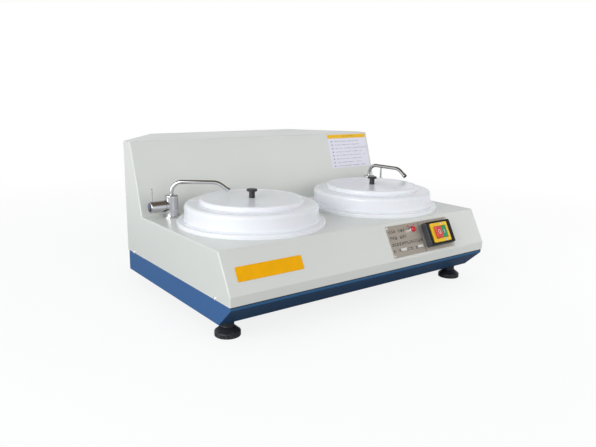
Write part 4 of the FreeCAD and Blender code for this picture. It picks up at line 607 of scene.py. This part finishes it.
SPLASH_FOOT, SPLASH_UP = Vector((0, 0.0563, 0.1715)), (0, 0.3054, 0.9522)
sticker_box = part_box("instruction_sticker")
STICKER_LOW, STICKER_HIGH = ((edge - SPLASH_FOOT.z) / SPLASH_UP[2] for edge in
                             (sticker_box[0].z, sticker_box[1].z))
dress(paper_sticker("label_white", sticker_box[0].x), "instruction_sticker")


def bare_label(name, colour):
    """A bare coloured film: slightly mottled ink under a matt laminate with faint orange peel."""
    film = Finish(name)
    point = film.place()
    mottle = film.ramp(film.noise(point, 60, 3), (0.35, 0), (0.65, 1))
    return film.close(Base_Color=film.mix(colour, dimmed(colour, 0.94), mottle),
                      Specular_IOR_Level=0.12,
                      Normal=film.bump(film.noise(point, 380, 2), 0.00004, 0.4),
                      Roughness=film.ramp(film.noise(point, 25, 2), (0.3, 0.42), (0.7, 0.52)))


dress(bare_label("label_yellow", (0.90, 0.425, 0.001)), "name_plate")


def marked_plate(name, colour):
    """Brushed plate, printed on its left part: four rows, two pale fields, red marks, a groove.

    The upper two rows are short and leave room for the lamp. The fields lie in the lowest row,
    and the red marks, two strokes and a dot, stand above the lamp."""
    plate = Finish(name)
    point = plate.place()
    across = plate.along(point, (1, 0, 0), (PLATE_LEFT, 0, 0))
    upward = plate.along(point, SLOPE_UP, SLOPE_FOOT)
    scratch = plate.noise(plate.stretched(point, (14.0, 900.0, 900.0)), 1, 3, 0.65)
    steel = plate.mix(dimmed(colour, 0.80), colour,
                      scratch * 0.6 + plate.noise(point, 30, 2) * 0.4)
    print_area = (across < 0.053).larger(upward < 0.041)
    rows = print_rows(plate, across - 0.004, upward, start=0.016, pitch=0.0142, height=0.0068,
                      sign_width=0.0074, stroke=0.0030, shortest=0.093, longest=0.096)
    rows = rows * print_area * upward.within(0.012, 0.068)
    in_field = upward.within(0.0175, 0.0235)
    fields = in_field * across.within(0.027, 0.044).larger(across.within(0.079, 0.096))
    red_marks = upward.within(0.0680, 0.0715) * across.within(0.0650, 0.0668).larger(
        across.within(0.0675, 0.0693)).larger(across.within(0.0850, 0.0882))
    groove = across.within(0.0993, 0.1007)
    tone = plate.mix(steel, (0.030, 0.028, 0.025), (rows * 0.9).larger(groove * 0.8))
    tone = plate.mix(plate.mix(tone, (0.66, 0.65, 0.62), fields), (0.70, 0.02, 0.02), red_marks)
    bare = 1 - rows.larger(fields).larger(red_marks).larger(groove)
    return plate.close(Base_Color=tone, Metallic=bare * 0.85,
                       Roughness=plate.ramp(scratch, (0.25, 0.36), (0.75, 0.50)),
                       Normal=plate.bump(scratch, 0.00002, 0.5))


PLATE_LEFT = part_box("control_plate")[0].x
dress(marked_plate("plate_steel", (0.84, 0.765, 0.670)), "control_plate")

# %% [markdown]
# ## New pieces as surfaces
#
# The pieces that CAD leaves plain are made here from formulas. A surface is a grid of points,
# worked out as whole arrays from two parameters. The mesh is the grid's cells. Where a row of the
# grid shrinks to one point, as at the middle of a disc, or where its ends meet, equal points are
# welded, which closes the skin. A modelling tool would need the same steps by hand for each copy.

# %% Surface tools
CREASE = math.radians(30)


def grid_mesh(name, grids, closed=True):
    """A mesh whose faces are the cells of grids of points, with equal points welded into one."""
    flat = np.concatenate([grid.reshape(-1, 3) for grid in grids])
    _, kept, same = np.unique(np.round(flat, 7), axis=0, return_index=True, return_inverse=True)
    numbers = np.split(same.reshape(-1), np.cumsum([grid.size // 3 for grid in grids])[:-1])
    cells = []
    for grid, number in zip(grids, numbers):
        index = number.reshape(grid.shape[:2])
        if closed:
            index = np.concatenate([index, index[:, :1]], axis=1)
        corners = [index[:-1, :-1], index[1:, :-1], index[1:, 1:], index[:-1, 1:]]
        cells.append(np.stack(corners, axis=-1).reshape(-1, 4))
    cells = np.concatenate(cells)
    repeated = cells == np.roll(cells, 1, axis=1)
    quads, pointed = cells[repeated.sum(axis=1) == 0], repeated.sum(axis=1) == 1
    triangles = cells[pointed][~repeated[pointed]].reshape(-1, 3)
    mesh = bpy.data.meshes.new(name)
    mesh.from_pydata(flat[kept].tolist(), [], quads.tolist() + triangles.tolist())
    mesh.shade_smooth()
    mesh.set_sharp_from_angle(angle=CREASE)
    return mesh


def add_piece(name, mesh, material, rides=None):
    """Links a new piece at the origin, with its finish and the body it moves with."""
    piece = bpy.data.objects.new(name, mesh)
    mesh.materials.append(material)
    scene.collection.objects.link(piece)
    if rides:
        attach(piece, rides)
    return piece


def lathe(profile, turns):
    """Points of a turned skin: (r, z) of a profile become (r cos t, r sin t, z) for t over a turn.

    The profile runs from the top outward and down, so that the faces look outward."""
    radius, height = np.asarray(profile, float).T[:, :, None]
    turn = np.linspace(0, math.tau, turns, endpoint=False)[None, :]
    return np.stack([radius * np.cos(turn), radius * np.sin(turn), height + 0 * turn], axis=-1)


def stand(points, origin, across=(1, 0, 0), outward=(0, 0, 1)):
    """Moves points from their own axes to an origin, with z along a direction out of a surface."""
    across, outward = Vector(across), Vector(outward)
    axes = np.array([across, outward.cross(across), outward])
    return points @ axes + np.array(origin)


# %% [markdown]
# ## Polishing cloths
#
# A round of napped cloth is stuck or clamped on each disc and soaked with a slurry of fine
# abrasive. Its nap is a velvet of fibres, far too fine to model, so the cloth is a thin disc with
# a slightly wavy top, and the nap is a bump with a soft sheen. Use leaves a paler ring where
# samples are held.

# %% Cloths
CLOTH_RADIUS, CLOTH_THICK, CLOTH_SIDE = 0.0998, 0.0011, 0.2
CLOTH_RINGS, RIPPLE, SEAT_GAP = 40, 0.00006, 0.00004


def napped_cloth(name, centre):
    """Short dark nap, paler in the ring where samples are pressed, damp and darker in patches."""
    cloth = Finish(name)
    point = cloth.place()
    radius = cloth.along(point, (1, 0, 0), centre).reach(cloth.along(point, (0, 1, 0), centre))
    tone_change = cloth.ramp(radius / (CLOTH_SIDE / 2), (0.25, 0), (0.5, 0.7), (0.72, 0.7), (0.95, 0))
    fibres = cloth.noise(point, 1900, 3, 0.7)
    damp = cloth.ramp(cloth.noise(point, 22, 4), (0.4, 0), (0.62, 1))
    tone = cloth.mix(cloth.mix((0.030, 0.055, 0.048), (0.095, 0.135, 0.120), tone_change * fibres * 1.6),
                     (0.014, 0.028, 0.025), damp * 0.6)
    return cloth.close(Base_Color=tone, Roughness=cloth.ramp(damp, (0, 0.92), (1, 0.62)),
                       Normal=cloth.bump(fibres, 0.0004, 0.8), Sheen_Weight=0.4,
                       Sheen_Roughness=0.5)


def cloth_skin(centre, bottom, phase):
    """A disc of cloth: its top is z = thickness + ripple sin(3 t + phase) sin(pi r / R), its edge
    is round, and its underside is flat."""
    out = np.linspace(0, 1, CLOTH_RINGS)
    edge = np.linspace(0, math.pi, 9)[1:-1]
    flat = CLOTH_RADIUS - CLOTH_THICK / 2
    radius = np.concatenate([out * flat, flat + CLOTH_THICK / 2 * np.sin(edge), out[::-1] * flat])
    height = np.concatenate([np.full(CLOTH_RINGS, CLOTH_THICK),
                             CLOTH_THICK / 2 * (1 + np.cos(edge)), np.zeros(CLOTH_RINGS)])
    points = lathe(np.stack([radius, height], axis=1), 144)
    turn = np.arctan2(points[..., 1], points[..., 0])
    reach = np.hypot(points[..., 0], points[..., 1]) / CLOTH_RADIUS
    ripple = RIPPLE * np.sin(3 * turn + phase) * np.sin(math.pi * reach)
    points[:CLOTH_RINGS, :, 2] += ripple[:CLOTH_RINGS]
    return stand(points, (centre.x, centre.y, bottom))


for side, centre in BOWL_CENTRES.items():
    cloth_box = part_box(f"{side}_cloth")
    mesh = grid_mesh(f"{side}_napped_cloth",
                     [cloth_skin(centre, cloth_box[0].z + SEAT_GAP, centre.x * 40)])
    piece = add_piece(f"{side}_napped_cloth", mesh, napped_cloth(f"{side}_nap", centre),
                      f"{side}_disc")
    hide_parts(f"{side}_cloth")
    dressed.add(f"{side}_cloth")
    print(piece.name, len(mesh.vertices), "points")

# %% [markdown]
# ## Screws with a cross recess
#
# The small screws have round heads with a cross for the driver. A cut with a solid would leave a
# ragged edge on so small a dome, so the recess is part of the height formula: the dome is lowered
# wherever the point lies on one of two arms, which get shallower towards their ends. All the
# screws of a group are one piece. Their zinc plating is whiter than bare steel, so the finish is
# only half metallic.

# %% Screws
CROSS_DEPTH, ARM_LENGTH, ARM_WIDTH, ARM_EDGE, ARM_FADE = 0.6, 0.62, 0.13, 0.05, 2.2
HEAD_BACK, FIRST_TURN, NEXT_TURN = 0.00002, 0.7, 1.9


def cross_arm(along, across):
    """1 in one arm of the cross. It falls off at the arm's sides and fades towards its end."""
    side = np.clip(0.5 - (np.abs(across) - ARM_WIDTH) / ARM_EDGE, 0, 1)
    return side * np.clip((ARM_LENGTH - np.abs(along)) / ARM_LENGTH * ARM_FADE, 0, 1)


def cross_head(radius, height):
    """A dome z = h (1 - (r/R)^2.6)^0.5 over a flat back, lowered by a share of h in a cross."""
    ring = np.concatenate([np.linspace(0, 0.97, 28),
                           np.sin(np.linspace(1.33, math.pi / 2, 5))])[:, None]
    turn = np.linspace(0, math.tau, 64, endpoint=False)[None, :]
    u, v = ring * np.cos(turn), ring * np.sin(turn)
    dome = np.sqrt(np.clip(1 - ring ** 2.6, 0, 1))
    cross = np.maximum(cross_arm(u, v), cross_arm(v, u))
    top = np.stack([radius * u, radius * v, height * (dome - CROSS_DEPTH * cross)], axis=-1)
    back = np.array([0, 0, HEAD_BACK])
    return np.concatenate([top, top[-1:] - back, 0 * top[:1] - back])


def screw_set(name, spots, radius, height, stands_for):
    """Heads at a list of places, each with the direction that it faces and its own turn."""
    heads = []
    for number, (origin, outward) in enumerate(spots):
        level = Vector(outward).orthogonal().normalized()
        across = Matrix.Rotation(FIRST_TURN + NEXT_TURN * number, 3, outward) @ level
        heads.append(stand(cross_head(radius, height), origin, across, outward))
    piece = add_piece(name, grid_mesh(name, heads), screw_finish, "root")
    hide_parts(stands_for)
    dressed.add(stands_for)
    print(name, len(spots), "screws")


def on_slope(x, up, out):
    """A point on the front slope, from its place across, up and out of it in millimetres."""
    moved = Vector((x, 0, 0)) + Vector(SLOPE_UP) * up + Vector(SLOPE_OUT) * out
    return SLOPE_FOOT + moved / 1000


screw_finish = brushed_metal("screw_zinc", (0.86, 0.87, 0.87), 0.24, metallic=0.5)
PLATE_SCREWS_X, PLATE_SCREWS_UP, PLATE_TOP = (55.0, 243.5), (9.5, 71.0), 1.2
SWITCH_X, SWITCH_UP, SWITCH_TOP, SWITCH_SCREW_SHIFTS = 204.4, 40, 19.5, (-18.5, 18.5)
screw_set("plate_screw_heads", [(on_slope(x, up, PLATE_TOP), SLOPE_OUT) for x in PLATE_SCREWS_X
                                for up in PLATE_SCREWS_UP]
          + [(on_slope(SWITCH_X, SWITCH_UP + shift, SWITCH_TOP), SLOPE_OUT)
             for shift in SWITCH_SCREW_SHIFTS],
          radius=0.0027, height=0.0012, stands_for="panel_screws")
SIDE_X, SIDE_SCREWS_Y, SCREW_Z = 0.35, (-0.2627, 0.1038), 0.083
REAR_Y, REAR_SCREWS_X = 0.3028, 0.17
screw_set("cover_screw_heads", [((sign * SIDE_X, y, SCREW_Z), (sign, 0, 0)) for sign in (-1, 1)
                                for y in SIDE_SCREWS_Y]
          + [((sign * REAR_SCREWS_X, REAR_Y, SCREW_Z), (0, 1, 0)) for sign in (-1, 1)],
          radius=0.004, height=0.0024, stands_for="cover_screws")

# %% [markdown]
# ## Signs on the buttons and caps on the tap handles
#
# The stop button carries a raised ring and the start button a raised bar, the usual signs for off
# and on. Each tap handle ends in a small coloured cap that hides its screw. They are thin pieces
# of their own that ride on the button or the handle, because a painted mark would lose the small
# step that catches the light.

# %% Signs and caps
def rounded_bar(width, length, height):
    """A bar with round ends: |2 x/w|^4 + |2 y/l|^12 = 1 at its foot, and z = height on top."""
    shrink = np.sin(np.linspace(0, math.pi / 2, 9))[:, None]
    turn = np.linspace(0, math.tau, 100, endpoint=False)[None, :]
    lift = np.sqrt(1 - (shrink * 0.999) ** 8)
    x = width / 2 * shrink * np.sign(np.cos(turn)) * np.abs(np.cos(turn)) ** 0.5
    y = length / 2 * shrink ** 0.5 * np.sign(np.sin(turn)) * np.abs(np.sin(turn)) ** (1 / 6)
    top = np.stack([x, y, height * lift + 0 * x], axis=-1)
    return np.concatenate([top, top[-1:] * np.array([1, 1, -0.1]), top[:1] * 0])


def flat_ring(half_width, half_length, thick, height):
    """An oval ring: centre line (a cos t, b sin t), with a low half-round section on it."""
    turn = np.linspace(0, math.tau, 72, endpoint=False)[None, :]
    section = np.linspace(0, math.tau, 16, endpoint=False)[:, None]
    shift = thick / 2 * np.cos(section)
    ring = np.stack([(half_width + shift) * np.cos(turn), (half_length + shift) * np.sin(turn),
                     height * np.maximum(np.sin(section), -0.1) + 0 * turn], axis=-1)
    return np.concatenate([ring, ring[:1]])


BUTTONS_UP, STOP_FACE_OUT, START_FACE_OUT, SIGN_HEIGHT = 0.040, 0.0245, 0.0205, 0.0003


def face_of(name, out):
    """The middle of a button's front face, at its distance out of the slope."""
    face = SLOPE_FOOT + Vector(SLOPE_UP) * BUTTONS_UP + Vector(SLOPE_OUT) * out
    return Vector((middle_of(name).x, *face[1:]))


sign_white = moulded("sign_white", (0.80, 0.80, 0.78), 0.35)
ring_points = stand(flat_ring(0.0034, 0.0046, 0.0012, SIGN_HEIGHT),
                    face_of("stop_button", STOP_FACE_OUT), outward=SLOPE_OUT)
add_piece("stop_ring", grid_mesh("stop_ring", [ring_points[:, ::-1]]), sign_white, "stop_button")
bar_points = stand(rounded_bar(0.0016, 0.0095, SIGN_HEIGHT),
                   face_of("start_button", START_FACE_OUT), outward=SLOPE_OUT)
add_piece("start_bar", grid_mesh("start_bar", [bar_points]), sign_white, "start_button")

CAP_RADIUS, CAP_RISE, CAP_EDGE_TURN, CAP_RIM = 0.0098, 0.0014, 1.45, 0.0001
INLAY_RADIUS, TAP_AXIS_HEIGHT = 0.0042, 0.197


def tap_cap(name, end):
    """Smoked plastic with a round inlay, mostly blue, with a red sector below: cold and warm."""
    cap = Finish(name)
    point = cap.place()
    north, rise = cap.along(point, (0, 1, 0), end), cap.along(point, (0, 0, 1), end)
    radius = north.reach(rise)
    inlay = cap.mix((0.014, 0.075, 0.30), (0.50, 0.02, 0.02), rise + abs(north) * 0.6 < -0.0013)
    cloudy = cap.ramp(cap.noise(point, 400, 2), (0.3, 0), (0.7, 1))
    smoke = cap.mix((0.012, 0.014, 0.018), (0.022, 0.025, 0.031), cloudy)
    in_inlay = radius < INLAY_RADIUS
    return cap.close(Base_Color=cap.mix(smoke, inlay, in_inlay),
                     Roughness=cap.ramp(cloudy, (0, 0.08), (1, 0.16)), Coat_Weight=0.5,
                     Coat_Roughness=0.03, Normal=cap.bump(in_inlay, 0.0001, 0.5))


cap_turn = np.linspace(0, CAP_EDGE_TURN, 14)
cap_profile = np.stack([CAP_RADIUS * np.sin(cap_turn), CAP_RISE * np.cos(cap_turn)], axis=1)
cap_rim = [(CAP_RADIUS, CAP_RIM), (CAP_RADIUS, -CAP_RIM), (0, -CAP_RIM)]
cap_profile = np.concatenate([cap_profile, cap_rim])
for side, sign in (("left", -1), ("right", 1)):
    handle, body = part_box(f"{side}_tap_handle"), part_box(f"{side}_tap_body")
    end = Vector((handle[0 if sign < 0 else 1].x, (body[0].y + body[1].y) / 2, TAP_AXIS_HEIGHT))
    cap_points = stand(lathe(cap_profile, 48), end, (0, 1, 0), (sign, 0, 0))
    add_piece(f"{side}_tap_cap", grid_mesh(f"{side}_tap_cap", [cap_points]),
              tap_cap(f"{side}_tap_inlay", end), f"{side}_tap_handle")
print("still bare:", sorted(set(nodes) - dressed))

# %% [markdown]
# ## Floor
#
# The photograph has a pure white ground. Turning the lamps up until the floor clips would burn out
# the white bowls too. So the floor tells the camera that it is nearly white by itself, and only a
# share of what the camera sees there comes from the lamps. That share keeps the soft shadow under
# the machine. To every other ray the floor is a plain grey bench, so that the blue tray stays
# dark. Only mirrors see it fade to white far away, so that the worktop still mirrors a bright
# horizon.

# %% Floor
FLOOR_HALF_SIZE, FADE_SCALE, LAMPLIT_SHARE = 12.0, 3.0, 0.16


def studio_floor():
    """A bench that fades into white with distance, and shows a soft shadow near the machine."""
    bench = Finish("floor")
    point = bench.place()
    reach = bench.add("ShaderNodeVectorMath", {"operation": "LENGTH"}, {0: point}, output="Value")
    near = 1 - bench.ramp(reach / FADE_SCALE, (0.2, 0), (0.6, 1))
    glow = bench.add("ShaderNodeEmission", inputs={"Color": (1, 1, 1, 1), "Strength": 1.0})
    lit = bench.add("ShaderNodeBsdfDiffuse", inputs={"Color": (0.95, 0.95, 0.96, 1)})
    pale = bench.add("ShaderNodeMixShader", inputs={0: near * LAMPLIT_SHARE, 1: glow, 2: lit})
    grain = bench.mix((0.36, 0.36, 0.37), (0.33, 0.33, 0.34), bench.noise(point, 5, 2))
    grey = bench.add("ShaderNodeBsdfDiffuse", inputs={"Color": grain})
    mirrored = bench.ray("Glossy") * (1 - near)
    other = bench.add("ShaderNodeMixShader", inputs={0: mirrored, 1: grey, 2: glow})
    surface = bench.add("ShaderNodeMixShader", inputs={0: bench.ray("Camera"), 1: other, 2: pale})
    bench.add("ShaderNodeOutputMaterial", inputs={"Surface": surface})
    return bench.block


edges = np.array([-FLOOR_HALF_SIZE, FLOOR_HALF_SIZE])
back, across = np.meshgrid(edges, edges)
floor_points = np.stack([across, back, 0 * across], axis=-1)
floor = add_piece("floor", grid_mesh("floor", [floor_points], closed=False), studio_floor())

# %% [markdown]
# ## The room that mirrors see
#
# Plain surfaces are lit by a pale room that is a little dimmer overhead. Chrome in an even room
# looks like grey plastic, so mirrors see another one: white at the horizon, brown and dark
# overhead, and darker on the right, as in a studio with its lights on one side. The camera sees
# pure white.

# %% World
HORIZON_LEVEL, ZENITH_LEVEL, ROOM_TINT = 0.64, 0.55, (0.98, 1.0, 1.01)


def studio_world():
    """White to the camera, a soft pale level to plain surfaces, and bands to mirrors."""
    room = Finish("room", world=True)
    sky = room.add("ShaderNodeTexCoord", output="Generated")
    rise = room.along(sky, (0, 0, 1))
    ceiling = room.ramp(rise, (0.34, 0), (0.56, 1))
    darker_side = room.ramp(room.along(sky, (0.94, -0.34, 0)), (0.40, 0), (0.85, 0.75))
    seen = room.mix(room.mix((0.96, 0.98, 1.0), (0.20, 0.20, 0.21), darker_side),
                    (0.17, 0.14, 0.11), ceiling)
    mirrored = room.ray("Glossy").larger(room.ray("Transmission"))
    overhead = room.ramp(rise, (0.10, 0), (0.80, 1))
    plain = room.mix(dimmed(ROOM_TINT, HORIZON_LEVEL), dimmed(ROOM_TINT, ZENITH_LEVEL), overhead)
    colour = room.mix(room.mix(plain, seen, mirrored), (1, 1, 1), room.ray("Camera"))
    light = room.add("ShaderNodeBackground", inputs={"Color": colour, "Strength": 1.0})
    room.add("ShaderNodeOutputWorld", inputs={"Surface": light})
    return room.block


scene.world = studio_world()

# %% [markdown]
# ## Lamps
#
# One large softbox stands low on the left, a little to the front, since the photograph's left side
# is its brightest and the lids' tops are greyer than their sides. A weaker one stands in front,
# and a third, close to the right end, makes the slope brighter towards that end. These two stay
# out of reflections, or they would lay a grey veil over the black switch box and burn out the
# steel plate. A lamp's level is given as the brightness of a white sheet that faces it, which says
# more than watts.

# %% Lamps
AIM = Vector((0, -0.05, 0.18))


def softbox(name, azimuth, elevation, distance, size, level, colour=(1, 1, 1), mirrored=False):
    """A square lamp aimed at the machine. Level 1 alone lights a facing white sheet to white."""
    back = look_axes(math.radians(azimuth), math.radians(elevation), 0)[2]
    lamp = bpy.data.lights.new(name, "AREA")
    lamp.size, lamp.color = size, colour
    lamp.energy = level * (math.pi * distance) ** 2
    item = bpy.data.objects.new(name, lamp)
    item.location = AIM + back * distance
    item.rotation_mode = "QUATERNION"
    item.rotation_quaternion = back.to_track_quat("Z", "Y")
    item.visible_glossy = mirrored
    scene.collection.objects.link(item)
    print(f"{name}: {lamp.energy:.0f} W")


softbox("key_left", azimuth=-76, elevation=14, distance=2.6, size=2.0, level=0.69,
        colour=(0.95, 0.985, 1.0), mirrored=True)
softbox("front", azimuth=-6, elevation=4, distance=2.6, size=1.6, level=0.19)
softbox("fill_right", azimuth=50, elevation=10, distance=1.4, size=0.8, level=0.235)
